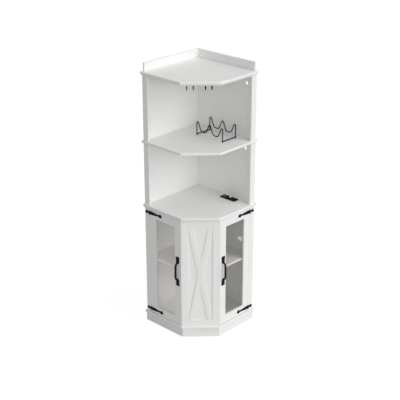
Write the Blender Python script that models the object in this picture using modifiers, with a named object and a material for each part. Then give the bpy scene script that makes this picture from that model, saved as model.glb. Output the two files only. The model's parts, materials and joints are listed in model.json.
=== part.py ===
"""Corner bar cabinet: a five-sided tower that stands in the corner of a room, with two glazed
doors and a crossed centre panel below, a counter, an open bay, and a second open bay on top.

Every plan size is measured from the back corner of the plates, where the two walls of the room
meet. In the left face's frame x runs along the face away from the left wall and -y points out of
the face. The right face is the same frame turned by 90 degrees, where x runs the other way, and
the centre face is the same frame turned by 45 degrees.
"""

import math

import bmesh
import bpy
from mathutils import Matrix, Vector

# Plan of the plates, in metres
WALL_RUN = 0.521
CENTRE_FACE_WIDTH = 0.2479
PLATE_THICK = 0.016
PLATE_ROUNDING = 0.003
OVERHANG = 0.0094
CENTRE_OVERHANG = 0.0137

# Heights of the tiers
PLINTH_HEIGHT = 0.064
LOWER_TIER = 0.763
MIDDLE_TIER = 0.420
UPPER_TIER = 0.434
GALLERY_HEIGHT = 0.055

# Clearances
SEAT_GAP = 0.0003
OVERRUN = 0.004

# Boards
WALL_THICK = 0.012
POST_WIDTH = 0.0435
POST_THICK = 0.016
BOARD_ROUNDING = 0.001
PLINTH_INSET = 0.012
PLINTH_BACK_INSET = 0.0015
PLINTH_THICK = 0.016
GALLERY_THICK = 0.012
GALLERY_END_INSET = 0.0185

# Cove mouldings under the counter and under the top
COUNTER_MOULD_HEIGHT = 0.0115
TOP_MOULD_HEIGHT = 0.009
MOULD_INSET = 0.0015
MOULD_CENTRE_WIDTH = 0.0165
COUNTER_COVE = 0.0075
TOP_COVE = 0.006
COVE_STEPS = 4
COVE_PROFILE_SHARE = 0.094

# Centre panel with its crossed brace
PANEL_THICK = 0.018
PANEL_STILE = 0.0458
PANEL_TOP_RAIL = 0.054
PANEL_BOTTOM_RAIL = 0.0435
PANEL_RECESS = 0.005
PANEL_REBATE = 0.008
FIELD_THICK = 0.006
BRACE_WIDTH = 0.030

# Uprights behind the free edges of the doors
UPRIGHT_WIDTH = 0.0175
UPRIGHT_DEPTH = 0.0246
STOP_GAP = 0.001

# Doors
DOOR_THICK = 0.016
DOOR_HINGE_GAP = 0.0011
DOOR_FREE_GAP = 0.0012
DOOR_FOOT_GAP = 0.0025
DOOR_HEAD_GAP = 0.001
HINGE_STILE = 0.052
FREE_STILE = 0.056
DOOR_TOP_RAIL = 0.0535
DOOR_BOTTOM_RAIL = 0.057
GLASS_SETBACK = 0.006
GLASS_THICK = 0.004
GLASS_REBATE = 0.008
BEAD_THICK = 0.005
BEAD_WIDTH = 0.0075

# Strap hinges
HINGE_BARREL_RADIUS = 0.0035
HINGE_PIN_RADIUS = 0.0015
HINGE_HEIGHT = 0.025
HINGE_LEAF_THICK = 0.0022
HINGE_LEAF_WIDTH = 0.0105
HINGE_BUTT_WIDTH = 0.0095
HINGE_NECK_HEIGHT = 0.0114
FINIAL_CENTRE = 0.0275
FINIAL_RADIUS = 0.0106
FINIAL_HEIGHT = 0.008
STRAP_LENGTH = 0.0850
STRAP_ROOT_HEIGHT = 0.0232
STRAP_END_HEIGHT = 0.0112
SPEAR_LENGTH = 0.026
SPEAR_HEIGHT = 0.0248
SPEAR_SHOULDERS = (0.28, 0.58)
HINGE_TOP_OFFSET = 0.0195
HINGE_FOOT_OFFSET = 0.0255

# Pull handles
HANDLE_FROM_EDGE = 0.0295
HANDLE_FOOT_Z = 0.3687
HANDLE_HEIGHT = 0.2075
HANDLE_PLATE_WIDTH = 0.030
HANDLE_TOP_PLATE = 0.051
HANDLE_BOTTOM_PLATE = 0.050
HANDLE_PLATE_THICK = 0.0025
HANDLE_BAR_RADIUS = 0.0070
HANDLE_REACH = 0.0207
HANDLE_BAR_OVERLAP = 0.0095
HANDLE_BAR_ROOT = 0.0035
HANDLE_STEPS = 20
HANDLE_BOW_POWER = 7

# Magnetic catches
CATCH_HEIGHT = 0.046
CATCH_WIDTH = 0.012
CATCH_DEPTH = 0.014
CATCH_BELOW_TOP = 0.030
STRIKE_THICK = 0.0012
STRIKE_HEIGHT = 0.030

# Shelf inside the lower tier and its pins
SHELF_TOP_Z = 0.4895
SHELF_THICK = 0.015
SHELF_CLEARANCE = 0.001
SHELF_SETBACK = 0.0036
PIN_RADIUS = 0.0025
PIN_REACH = 0.010
PIN_SOCKET = 0.007
PIN_ALONG = 0.200

# Holes for cables in the right walls
CABLE_HOLE_RADIUS = 0.0125
CABLE_HOLE_FROM_POST = 0.0586
UPPER_HOLE_DROP = 0.076
MIDDLE_HOLE_DROP = 0.0575
LOWER_SLOT_FROM_POST = 0.0920
LOWER_SLOT_RISE = 0.0835
LOWER_SLOT_LENGTH = 0.046
LOWER_SLOT_HEIGHT = 0.031

# Power outlet let into the counter
OUTLET_ALONG = 0.281
OUTLET_FROM_BACK = 0.044
OUTLET_LENGTH = 0.124
OUTLET_DEPTH = 0.0455
OUTLET_HEIGHT = 0.006
OUTLET_RIM = 0.007
OUTLET_BODY_DROP = 0.030
OUTLET_FACE_INSET = 0.004
OUTLET_FACE_THICK = 0.002
GLAND_RADIUS = 0.006
GLAND_LENGTH = 0.010

# Hanging rails for stemmed glasses
STEM_WIRE_RADIUS = 0.0032
STEM_ROW_SPACING = 0.113
STEM_ROWS_SHIFT = 0.0055
STEM_SLOT = 0.0389
STEM_FRONT_INSET = 0.026
STEM_RUN = 0.220
STEM_DROP = 0.041
STEM_BEND = 0.008

# Wine rack that stands loose on the middle shelf
RACK_WIRE_RADIUS = 0.0033
RACK_LEFT = 0.174
RACK_BACK = 0.0735
RACK_DEPTH = 0.121
RACK_CRADLE = 0.1045
RACK_SHOULDER = 0.007
RACK_PEAK = 0.0875
RACK_VALLEY = 0.0265
RACK_CRADLES = 2
RACK_STEPS = 12
RACK_POWER = 2.3
RACK_FOOT_RADIUS = 0.0048

# Levels and planes that follow from the sizes above
BASE_TOP = PLINTH_HEIGHT + PLATE_THICK
COUNTER_Z = BASE_TOP + LOWER_TIER
COUNTER_TOP = COUNTER_Z + PLATE_THICK
MIDDLE_Z = COUNTER_TOP + MIDDLE_TIER
MIDDLE_TOP = MIDDLE_Z + PLATE_THICK
ROOF_Z = MIDDLE_TOP + UPPER_TIER
ROOF_TOP = ROOF_Z + PLATE_THICK
ROOT_TWO = math.sqrt(2)
FACE_RUN = WALL_RUN - CENTRE_FACE_WIDTH / ROOT_TWO
FRONT = WALL_RUN - OVERHANG
POST_BACK = FRONT - POST_THICK
WALL_FACE = OVERHANG + WALL_THICK
CENTRE_EDGE = (WALL_RUN + FACE_RUN) / ROOT_TWO
CENTRE_FRONT = CENTRE_EDGE - CENTRE_OVERHANG
PANEL_CORNER = ROOT_TWO * CENTRE_FRONT - FRONT
PANEL_HALF = (FRONT - PANEL_CORNER) / ROOT_TWO
LOWER_HEAD = COUNTER_Z - COUNTER_MOULD_HEIGHT
PANEL_FOOT = BASE_TOP + SEAT_GAP
PANEL_HEAD = LOWER_HEAD - SEAT_GAP
PIVOT_ALONG = OVERHANG + POST_WIDTH + DOOR_HINGE_GAP / 2
PIVOT_OUT = FRONT + SEAT_GAP + HINGE_BARREL_RADIUS
DOOR_START = OVERHANG + POST_WIDTH + DOOR_HINGE_GAP
DOOR_END = PANEL_CORNER - DOOR_FREE_GAP
DOOR_FOOT = BASE_TOP + DOOR_FOOT_GAP
DOOR_HEAD = LOWER_HEAD - DOOR_HEAD_GAP
DOOR_BACK = FRONT - DOOR_THICK
UPRIGHT_FRONT = DOOR_BACK - STOP_GAP
UPRIGHT_BACK = UPRIGHT_FRONT - UPRIGHT_DEPTH
UPRIGHT_SIDE = PANEL_CORNER - UPRIGHT_WIDTH
PANEL_BACK_SUM = ROOT_TWO * (CENTRE_FRONT - PANEL_THICK)
HANDLE_OUT = HANDLE_REACH + HANDLE_BAR_RADIUS + SEAT_GAP
MIDDLE_OF_BOX = (FRONT + HANDLE_OUT) / 2

LEFT = 1
RIGHT = -1


def clear_scene():
    """Takes every object out of the scene."""
    for obj in list(bpy.data.objects):
        bpy.data.objects.remove(obj, do_unlink=True)


def new_collection(name, hidden=False):
    """A collection under the scene's own one."""
    collection = bpy.data.collections.new(name)
    collection.hide_render = hidden
    bpy.context.scene.collection.children.link(collection)
    return collection


def material(name, colour, roughness, metallic=0.0, alpha=1.0):
    """A Principled BSDF material with plain values."""
    made = bpy.data.materials.new(name)
    made.use_nodes = True
    shader = made.node_tree.nodes["Principled BSDF"]
    shader.inputs["Base Color"].default_value = (*colour, 1.0)
    shader.inputs["Roughness"].default_value = roughness
    shader.inputs["Metallic"].default_value = metallic
    shader.inputs["Alpha"].default_value = alpha
    made.diffuse_color = (*colour, alpha)
    return made


clear_scene()
PARTS = new_collection("corner_bar_cabinet")
CUTTERS = new_collection("corner_bar_cabinet_cutters", hidden=True)
WHITE = material("white_paint", (0.80, 0.80, 0.78), 0.45)
BLACK = material("black_iron", (0.015, 0.015, 0.016), 0.5, metallic=0.6)
GLASS = material("clear_glass", (0.85, 0.87, 0.86), 0.03, alpha=0.3)
STEEL = material("zinc_plated_steel", (0.55, 0.56, 0.57), 0.35, metallic=1.0)
PLASTIC = material("black_plastic", (0.02, 0.02, 0.022), 0.4)
DARK = material("brown_plastic", (0.05, 0.04, 0.03), 0.6)


def frame(name, turn, parent=None, place=(0.0, 0.0, 0.0)):
    """An empty that carries the pieces of one face, or of one moving group."""
    empty = bpy.data.objects.new(name, None)
    PARTS.objects.link(empty)
    empty.rotation_euler = (0.0, 0.0, turn)
    empty.location = place
    empty.parent = parent
    return empty


def add_mesh(name, mesh, parent, looks, helper=False):
    """A mesh object of the part, or a helper that only cuts or joins."""
    obj = bpy.data.objects.new(name, mesh)
    obj.parent = parent
    if helper:
        obj.hide_render = True
        obj.display_type = "WIRE"
        CUTTERS.objects.link(obj)
    else:
        PARTS.objects.link(obj)
        mesh.materials.clear()
        mesh.materials.append(looks)
    return obj


def box(name, parent, xs, ys, zs, looks=None, helper=False):
    """A box between two values on each axis of its parent's frame."""
    low = Vector((min(xs), min(ys), min(zs)))
    high = Vector((max(xs), max(ys), max(zs)))
    mesh = bpy.data.meshes.new(name)
    bm = bmesh.new()
    bmesh.ops.create_cube(bm, size=1.0, matrix=Matrix.Diagonal((*(high - low), 1.0)))
    bm.to_mesh(mesh)
    bm.free()
    obj = add_mesh(name, mesh, parent, looks, helper)
    obj.location = (low + high) / 2
    return obj


def rod(name, parent, centre, radius, length, turn, looks=None, helper=False, segments=16):
    """A cylinder whose axis is Z before it takes the given rotation matrix."""
    mesh = bpy.data.meshes.new(name)
    bm = bmesh.new()
    bmesh.ops.create_cone(bm, cap_ends=True, segments=segments, radius1=radius, radius2=radius,
                          depth=length, matrix=turn)
    bm.to_mesh(mesh)
    bm.free()
    obj = add_mesh(name, mesh, parent, looks, helper)
    obj.location = centre
    return obj


def mesh_of(obj):
    """The welded mesh of an object as its modifiers leave it, in the object's own frame."""
    graph = bpy.context.evaluated_depsgraph_get()
    mesh = bpy.data.meshes.new_from_object(obj.evaluated_get(graph), depsgraph=graph)
    bm = bmesh.new()
    bm.from_mesh(mesh)
    bmesh.ops.remove_doubles(bm, verts=bm.verts, dist=SEAT_GAP / 30)
    bmesh.ops.recalc_face_normals(bm, faces=bm.faces)
    bm.to_mesh(mesh)
    bm.free()
    return mesh


def from_curve(name, data, parent, looks, helper, spot=(0.0, 0.0, 0.0), turn=(0.0, 0.0, 0.0)):
    """A mesh object with the shape that a curve makes."""
    curve = bpy.data.objects.new(name + "_curve", data)
    bpy.context.scene.collection.objects.link(curve)
    mesh = mesh_of(curve)
    mesh.name = name
    bpy.data.objects.remove(curve)
    bpy.data.curves.remove(data)
    obj = add_mesh(name, mesh, parent, looks, helper)
    obj.location = spot
    obj.rotation_euler = turn
    return obj


def outline_curve(name, outlines, thick):
    """A filled 2D curve, extruded by half its thickness to each side."""
    data = bpy.data.curves.new(name, "CURVE")
    data.dimensions = "2D"
    data.fill_mode = "BOTH"
    data.extrude = thick / 2
    for outline in outlines:
        spline = data.splines.new("POLY")
        spline.points.add(len(outline) - 1)
        for point, (x, y) in zip(spline.points, outline):
            point.co = (x, y, 0.0, 1.0)
        spline.use_cyclic_u = True
    return data


def slab(name, parent, outline, zs, looks=None, helper=False):
    """A flat piece with its outline in plan."""
    low, high = zs
    data = outline_curve(name, [outline], high - low)
    return from_curve(name, data, parent, looks, helper, spot=(0.0, 0.0, (low + high) / 2))


def plaque(name, parent, outlines, outs, looks=None, helper=False):
    """A flat piece with its outline on a face, between two distances out of the corner."""
    low, high = outs
    data = outline_curve(name, outlines, high - low)
    spot = (0.0, -(low + high) / 2, 0.0)
    return from_curve(name, data, parent, looks, helper, spot, (math.pi / 2, 0.0, 0.0))


def wire(name, parent, points, radius, looks=None, helper=False, closed=False):
    """A round wire along the points."""
    data = bpy.data.curves.new(name, "CURVE")
    data.dimensions = "3D"
    data.bevel_depth = radius
    data.bevel_resolution = 2
    data.use_fill_caps = not closed
    spline = data.splines.new("POLY")
    spline.points.add(len(points) - 1)
    for point, place in zip(spline.points, points):
        point.co = (*place, 1.0)
    spline.use_cyclic_u = closed
    return from_curve(name, data, parent, looks, helper)


def ease(obj, width):
    """Rounds the edges a little."""
    bevel = obj.modifiers.new("edges", "BEVEL")
    bevel.width = width
    bevel.segments = 2
    bevel.limit_method = "ANGLE"
    bevel.angle_limit = math.radians(35)
    return obj


def combine(obj, other, operation):
    """Cuts the other object out of this one, or joins it on."""
    change = obj.modifiers.new(other.name, "BOOLEAN")
    change.object = other
    change.operation = operation
    change.solver = "EXACT"
    return obj


def cut(obj, other):
    return combine(obj, other, "DIFFERENCE")


def join(obj, other):
    return combine(obj, other, "UNION")


def smooth(obj):
    """Smooth shading on round pieces, with their real edges kept sharp."""
    obj.data.shade_smooth()
    obj.data.set_sharp_from_angle(angle=math.radians(40))
    return obj


def plan_outline(back, front, centre):
    """The five corners of a plate, set in from the plates' back, face and centre edges."""
    side = WALL_RUN - front
    corner = WALL_RUN + FACE_RUN - ROOT_TWO * centre - side
    return [(back, -back), (back, -side), (corner, -side), (side, -corner), (side, -back)]


def plate(name, parent, low):
    """One of the four load-bearing plates."""
    made = slab(name, parent, plan_outline(0.0, 0.0, 0.0), (low, low + PLATE_THICK), WHITE)
    return made


def moulding(name, parent, top, height, cove):
    """The cove strip round the three front edges under a plate, mitred at its corners."""
    outer = plan_outline(OVERHANG, MOULD_INSET, MOULD_INSET)[1:]
    inner = plan_outline(OVERHANG, WALL_RUN - POST_BACK, MOULD_INSET + MOULD_CENTRE_WIDTH)[1:]
    made = slab(name, parent, outer + inner[::-1], (top - height, top), WHITE)
    bm = bmesh.new()
    bm.from_mesh(made.data)

    def on_lower_outer_edge(vert):
        near = any((vert.co.xy - Vector(point)).length < SEAT_GAP for point in outer)
        return near and vert.co.z < 0

    chosen = [edge for edge in bm.edges if all(map(on_lower_outer_edge, edge.verts))]
    bmesh.ops.bevel(bm, geom=chosen, offset=cove, offset_type="OFFSET", segments=COVE_STEPS,
                    profile=COVE_PROFILE_SHARE, affect="EDGES", clamp_overlap=True)
    bm.to_mesh(made.data)
    bm.free()
    return made


def mitred_boards(names, parent, outer, inner, zs):
    """Boards round an outline, each mitred to its neighbours."""
    count = len(outer)
    for index, name in enumerate(names):
        start = Vector(outer[index])
        end = Vector(outer[(index + 1) % count])
        step = (end - start).normalized() * SEAT_GAP
        ends = [start + step, end - step, Vector(inner[(index + 1) % count]) - step,
                Vector(inner[index]) + step]
        ease(slab(name, parent, ends, zs, WHITE), BOARD_ROUNDING)


def build_plinth(corner):
    outer = plan_outline(PLINTH_BACK_INSET, PLINTH_INSET, PLINTH_INSET)
    inner = plan_outline(PLINTH_BACK_INSET + PLINTH_THICK, PLINTH_INSET + PLINTH_THICK,
                         PLINTH_INSET + PLINTH_THICK)
    names = ("plinth_left_back_board", "plinth_left_front_board", "plinth_centre_board",
             "plinth_right_front_board", "plinth_right_back_board")
    mitred_boards(names, corner, outer, inner, (0.0, PLINTH_HEIGHT - SEAT_GAP))


def build_tier(name, corner, right_face, low, high, post_high):
    """The two wall panels of a tier and the posts at their front ends."""
    zs = (low + SEAT_GAP, high - SEAT_GAP)
    wall_end = POST_BACK - SEAT_GAP
    left = box(name + "_left_wall", corner, (OVERHANG, WALL_FACE), (-OVERHANG, -wall_end), zs,
               WHITE)
    right = box(name + "_right_wall", corner, (WALL_FACE + SEAT_GAP, wall_end),
                (-OVERHANG, -WALL_FACE), zs, WHITE)
    post_zs = (low + SEAT_GAP, post_high - SEAT_GAP)
    for side, face, hand in (("_left_post", corner, LEFT), ("_right_post", right_face, RIGHT)):
        ease(box(name + side, face, (hand * OVERHANG, hand * (OVERHANG + POST_WIDTH)),
                 (-POST_BACK, -FRONT), post_zs, WHITE), BOARD_ROUNDING)
    return left, right


def obround(centre_x, centre_z, length, height):
    """The outline of a slot with round ends."""
    radius = height / 2
    half = length / 2 - radius
    points = []
    for middle, start in ((half, -math.pi / 2), (-half, math.pi / 2)):
        for step in range(9):
            angle = start + math.pi * step / 8
            points.append((centre_x + middle + radius * math.cos(angle),
                           centre_z + radius * math.sin(angle)))
    return points


def bore_wall(wall, corner, z):
    """A round cable hole through a right wall."""
    length = WALL_THICK + OVERRUN + OVERRUN
    spot = (POST_BACK - CABLE_HOLE_FROM_POST, -(OVERHANG + WALL_THICK / 2), z)
    cutter = rod(wall.name + "_hole", corner, spot,
                 CABLE_HOLE_RADIUS, length, Matrix.Rotation(math.pi / 2, 4, "X"), helper=True,
                 segments=24)
    cut(wall, cutter)


def build_carcass(corner, right_face, centre_face):
    plate("base_panel", corner, PLINTH_HEIGHT)
    counter = plate("counter_top", corner, COUNTER_Z)
    ease(plate("middle_shelf", corner, MIDDLE_Z), PLATE_ROUNDING)
    ease(plate("top_panel", corner, ROOF_Z), PLATE_ROUNDING)
    ease(bpy.data.objects["base_panel"], PLATE_ROUNDING)
    ease(counter, PLATE_ROUNDING)
    moulding("counter_moulding", corner, COUNTER_Z - SEAT_GAP, COUNTER_MOULD_HEIGHT - SEAT_GAP,
             COUNTER_COVE)
    moulding("top_moulding", corner, ROOF_Z - SEAT_GAP, TOP_MOULD_HEIGHT - SEAT_GAP, TOP_COVE)
    lower_left, lower_right = build_tier("lower", corner, right_face, BASE_TOP, COUNTER_Z,
                                         LOWER_HEAD)
    middle_right = build_tier("middle", corner, right_face, COUNTER_TOP, MIDDLE_Z, MIDDLE_Z)[1]
    upper_right = build_tier("upper", corner, right_face, MIDDLE_TOP, ROOF_Z,
                             ROOF_Z - TOP_MOULD_HEIGHT)[1]
    bore_wall(middle_right, corner, MIDDLE_Z - MIDDLE_HOLE_DROP)
    bore_wall(upper_right, corner, ROOF_Z - UPPER_HOLE_DROP)
    slot = obround(POST_BACK - LOWER_SLOT_FROM_POST, SHELF_TOP_Z + LOWER_SLOT_RISE,
                   LOWER_SLOT_LENGTH, LOWER_SLOT_HEIGHT)
    cut(lower_right, plaque("lower_right_wall_slot", corner, [slot],
                            (OVERHANG - OVERRUN, WALL_FACE + OVERRUN), helper=True))
    gallery_zs = (ROOF_TOP + SEAT_GAP, ROOF_TOP + GALLERY_HEIGHT)
    gallery_face = OVERHANG + GALLERY_THICK
    gallery_end = WALL_RUN - GALLERY_END_INSET
    ease(box("gallery_right_strip", corner, (OVERHANG, gallery_end), (-OVERHANG, -gallery_face),
             gallery_zs, WHITE), BOARD_ROUNDING)
    ease(box("gallery_left_strip", corner, (OVERHANG, gallery_face),
             (-(gallery_face + SEAT_GAP), -gallery_end), gallery_zs, WHITE), BOARD_ROUNDING)
    return counter, lower_left, lower_right


def build_centre_panel(corner, right_face, centre_face):
    """The fixed panel between the doors: a frame whose ends meet the doors at 45 degrees, a
    field let into it from behind, and two crossed strips on the field."""
    zs = (PANEL_FOOT, PANEL_HEAD)
    front, back = CENTRE_FRONT, CENTRE_FRONT - PANEL_THICK
    half_back = PANEL_HALF - PANEL_THICK
    ends = [(-PANEL_HALF, -front), (PANEL_HALF, -front), (half_back, -back), (-half_back, -back)]
    ring = ease(slab("centre_panel_frame", centre_face, ends, zs, WHITE), BOARD_ROUNDING)
    half = PANEL_HALF - PANEL_STILE
    low, high = zs[0] + PANEL_BOTTOM_RAIL, zs[1] - PANEL_TOP_RAIL
    cut(ring, box("centre_panel_window", centre_face, (-half, half),
                  (-(back - OVERRUN), -(front + OVERRUN)), (low, high), helper=True))
    wide = half + PANEL_REBATE
    field_front = front - PANEL_RECESS
    cut(ring, box("centre_panel_rebate", centre_face, (-wide, wide),
                  (-(back - OVERRUN), -field_front),
                  (low - PANEL_REBATE, high + PANEL_REBATE), helper=True))
    fit = wide - SEAT_GAP
    board_front = field_front - SEAT_GAP
    box("centre_panel_field", centre_face, (-fit, fit), (-board_front, -(board_front - FIELD_THICK)),
        (low - PANEL_REBATE + SEAT_GAP, high + PANEL_REBATE - SEAT_GAP), WHITE)
    reach = half - SEAT_GAP
    foot, head = low + SEAT_GAP, high - SEAT_GAP
    inside = reach - BRACE_WIDTH
    rising = [(-reach, foot), (-inside, foot), (reach, head), (inside, head)]
    falling = [(reach, foot), (inside, foot), (-reach, head), (-inside, head)]
    outs = (field_front, front - SEAT_GAP)
    brace = plaque("centre_cross_brace", centre_face, [rising], outs, WHITE)
    join(brace, plaque("centre_cross_brace_other", centre_face, [falling], outs, helper=True))
    ease(brace, BOARD_ROUNDING)
    for name, face, hand in (("left_upright", corner, LEFT), ("right_upright", right_face, RIGHT)):
        last = PANEL_BACK_SUM - ROOT_TWO * SEAT_GAP
        points = [(hand * UPRIGHT_SIDE, -UPRIGHT_FRONT),
                  (hand * (last - UPRIGHT_FRONT), -UPRIGHT_FRONT),
                  (hand * (last - UPRIGHT_BACK), -UPRIGHT_BACK),
                  (hand * UPRIGHT_SIDE, -UPRIGHT_BACK)]
        made = slab(name, face, points, zs, WHITE)
        bore_for_pin(made, face, (hand * (UPRIGHT_SIDE + UPRIGHT_WIDTH), -UPRIGHT_BACK),
                     Vector((0.0, -1.0, 0.0)))


def pin_height():
    return SHELF_TOP_Z - SHELF_THICK - SEAT_GAP - PIN_RADIUS


def bore_for_pin(piece, face, spot, into):
    """A blind hole for a shelf pin, and the pin in it."""
    x, y = spot
    mouth = Vector((x, y, pin_height()))
    turn = into.to_track_quat("Z", "Y").to_matrix().to_4x4()
    depth = PIN_SOCKET + OVERRUN
    hole = rod(piece.name + "_pin_hole", face, mouth + into * (PIN_SOCKET - depth / 2),
               PIN_RADIUS + SEAT_GAP, depth, turn, helper=True, segments=12)
    cut(piece, hole)
    inner = PIN_SOCKET - SEAT_GAP
    length = inner + PIN_REACH
    number = sum(obj.name.startswith("shelf_pin") for obj in PARTS.objects) + 1
    pin = rod(f"shelf_pin_{number}", face, mouth + into * (inner - length / 2), PIN_RADIUS,
              length, turn, STEEL, segments=12)
    smooth(pin)


def build_shelf(corner, right_face, lower_left, lower_right):
    near = WALL_FACE + SHELF_CLEARANCE
    far = DOOR_BACK - SHELF_SETBACK
    side = UPRIGHT_SIDE - SHELF_CLEARANCE
    inside = UPRIGHT_BACK - SHELF_CLEARANCE
    last = PANEL_BACK_SUM - ROOT_TWO * SHELF_CLEARANCE
    points = [(near, -near), (near, -far), (side, -far), (side, -inside),
              (last - inside, -inside), (inside, -(last - inside)), (inside, -side),
              (far, -side), (far, -near)]
    ease(slab("interior_shelf", corner, points, (SHELF_TOP_Z - SHELF_THICK, SHELF_TOP_Z), WHITE),
         BOARD_ROUNDING)
    bore_for_pin(lower_left, corner, (WALL_FACE, -PIN_ALONG), Vector((-1.0, 0.0, 0.0)))
    bore_for_pin(lower_right, corner, (PIN_ALONG, -WALL_FACE), Vector((0.0, 1.0, 0.0)))


def hinge_meshes():
    """The fixed leaf with its pin, and the strap, of one surface hinge. The barrel's axis is Z,
    the strap points to +X and the leaves lie on the plane behind the barrel."""
    clear = HINGE_BARREL_RADIUS + SEAT_GAP
    half = HINGE_HEIGHT / 2
    third = HINGE_HEIGHT / 6
    neck = HINGE_NECK_HEIGHT / 2
    behind = -HINGE_BARREL_RADIUS
    outs = (behind, behind + HINGE_LEAF_THICK)
    up = Matrix.Identity(4)
    leaf_line = [(0.0, half), (-HINGE_LEAF_WIDTH, half), (-HINGE_LEAF_WIDTH, neck),
                 (-FINIAL_CENTRE, neck), (-FINIAL_CENTRE, -neck), (-HINGE_LEAF_WIDTH, -neck),
                 (-HINGE_LEAF_WIDTH, -half), (0.0, -half), (0.0, -third - SEAT_GAP),
                 (-clear, -third - SEAT_GAP), (-clear, third + SEAT_GAP),
                 (0.0, third + SEAT_GAP)]
    leaf = plaque("hinge_leaf_pattern", None, [leaf_line], outs, helper=True)
    knuckle = half - third - SEAT_GAP
    for name, sign in (("top", 1), ("foot", -1)):
        middle = sign * (half - knuckle / 2)
        join(leaf, rod("hinge_knuckle_" + name, None, (0.0, 0.0, middle), HINGE_BARREL_RADIUS,
                       knuckle, up, helper=True))
    join(leaf, rod("hinge_pin", None, (0.0, 0.0, 0.0), HINGE_PIN_RADIUS,
                   HINGE_HEIGHT - knuckle, up, helper=True, segments=12))
    button = bpy.data.meshes.new("hinge_finial")
    bm = bmesh.new()
    bmesh.ops.create_cone(bm, cap_ends=True, segments=16, radius1=FINIAL_RADIUS,
                          radius2=FINIAL_RADIUS / 2, depth=FINIAL_HEIGHT,
                          matrix=Matrix.Rotation(math.pi / 2, 4, "X"))
    bm.to_mesh(button)
    bm.free()
    finial = add_mesh("hinge_finial", button, None, None, helper=True)
    finial.location = (-FINIAL_CENTRE, -(behind + FINIAL_HEIGHT / 2), 0.0)
    join(leaf, finial)
    root = STRAP_ROOT_HEIGHT / 2
    end = STRAP_END_HEIGHT / 2
    spear = SPEAR_HEIGHT / 2
    butt = HINGE_BUTT_WIDTH
    tip = STRAP_LENGTH + SPEAR_LENGTH
    upper = [(0.0, third - SEAT_GAP), (clear, third - SEAT_GAP), (clear, half), (butt, half),
             (butt + HINGE_BARREL_RADIUS, root), (STRAP_LENGTH, end),
             (STRAP_LENGTH + SPEAR_LENGTH * SPEAR_SHOULDERS[0], spear),
             (STRAP_LENGTH + SPEAR_LENGTH * SPEAR_SHOULDERS[1], spear), (tip, 0.0)]
    lower = [(x, -z) for x, z in upper[-2::-1]]
    strap = plaque("hinge_strap_pattern", None, [upper + lower], outs, helper=True)
    sleeve = third - SEAT_GAP
    join(strap, rod("hinge_sleeve", None, (0.0, 0.0, 0.0), HINGE_BARREL_RADIUS, sleeve + sleeve,
                    up, helper=True))
    cut(strap, rod("hinge_bore", None, (0.0, 0.0, 0.0), HINGE_PIN_RADIUS + SEAT_GAP,
                   HINGE_HEIGHT, up, helper=True, segments=12))
    bpy.context.view_layer.update()
    return moved_mesh(leaf), moved_mesh(strap)


def moved_mesh(obj):
    """The mesh of an object with its own place and rotation worked in."""
    mesh = mesh_of(obj)
    mesh.transform(obj.matrix_basis)
    return mesh


def handle_mesh():
    """A bow pull on two plates, in a frame whose origin is at its foot on the door's face."""
    half = HANDLE_PLATE_WIDTH / 2
    outs = (0.0, HANDLE_PLATE_THICK)

    def plate_line(foot, height, point_up):
        shares = ((0.93, 0.0), (1.0, 0.03), (1.0, 0.42), (0.84, 0.55), (0.98, 0.72), (0.72, 0.88),
                  (0.38, 1.0))
        line = [(half * across, along * height) for across, along in shares]
        line = line + [(-x, z) for x, z in line[::-1]]
        if point_up:
            line = [(x, height - z) for x, z in line[::-1]]
        return [(x, foot + z) for x, z in line]

    grip = plaque("handle_pattern", None, [plate_line(0.0, HANDLE_BOTTOM_PLATE, False)], outs,
                  helper=True)
    upper = plate_line(HANDLE_HEIGHT - HANDLE_TOP_PLATE, HANDLE_TOP_PLATE, True)
    join(grip, plaque("handle_top_plate", None, [upper], outs, helper=True))
    low = HANDLE_BOTTOM_PLATE - HANDLE_BAR_OVERLAP
    high = HANDLE_HEIGHT - HANDLE_TOP_PLATE + HANDLE_BAR_OVERLAP
    start = HANDLE_BAR_ROOT
    points = []
    for index in range(HANDLE_STEPS + 1):
        run = 2 * index / HANDLE_STEPS - 1
        swing = math.sin(run * math.pi / 2)
        out = start + (HANDLE_REACH - start) * (1 - abs(swing) ** HANDLE_BOW_POWER)
        points.append((0.0, -out, low + (high - low) * (1 + swing) / 2))
    join(grip, wire("handle_bow", None, points, HANDLE_BAR_RADIUS, helper=True))
    bpy.context.view_layer.update()
    return moved_mesh(grip)


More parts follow.
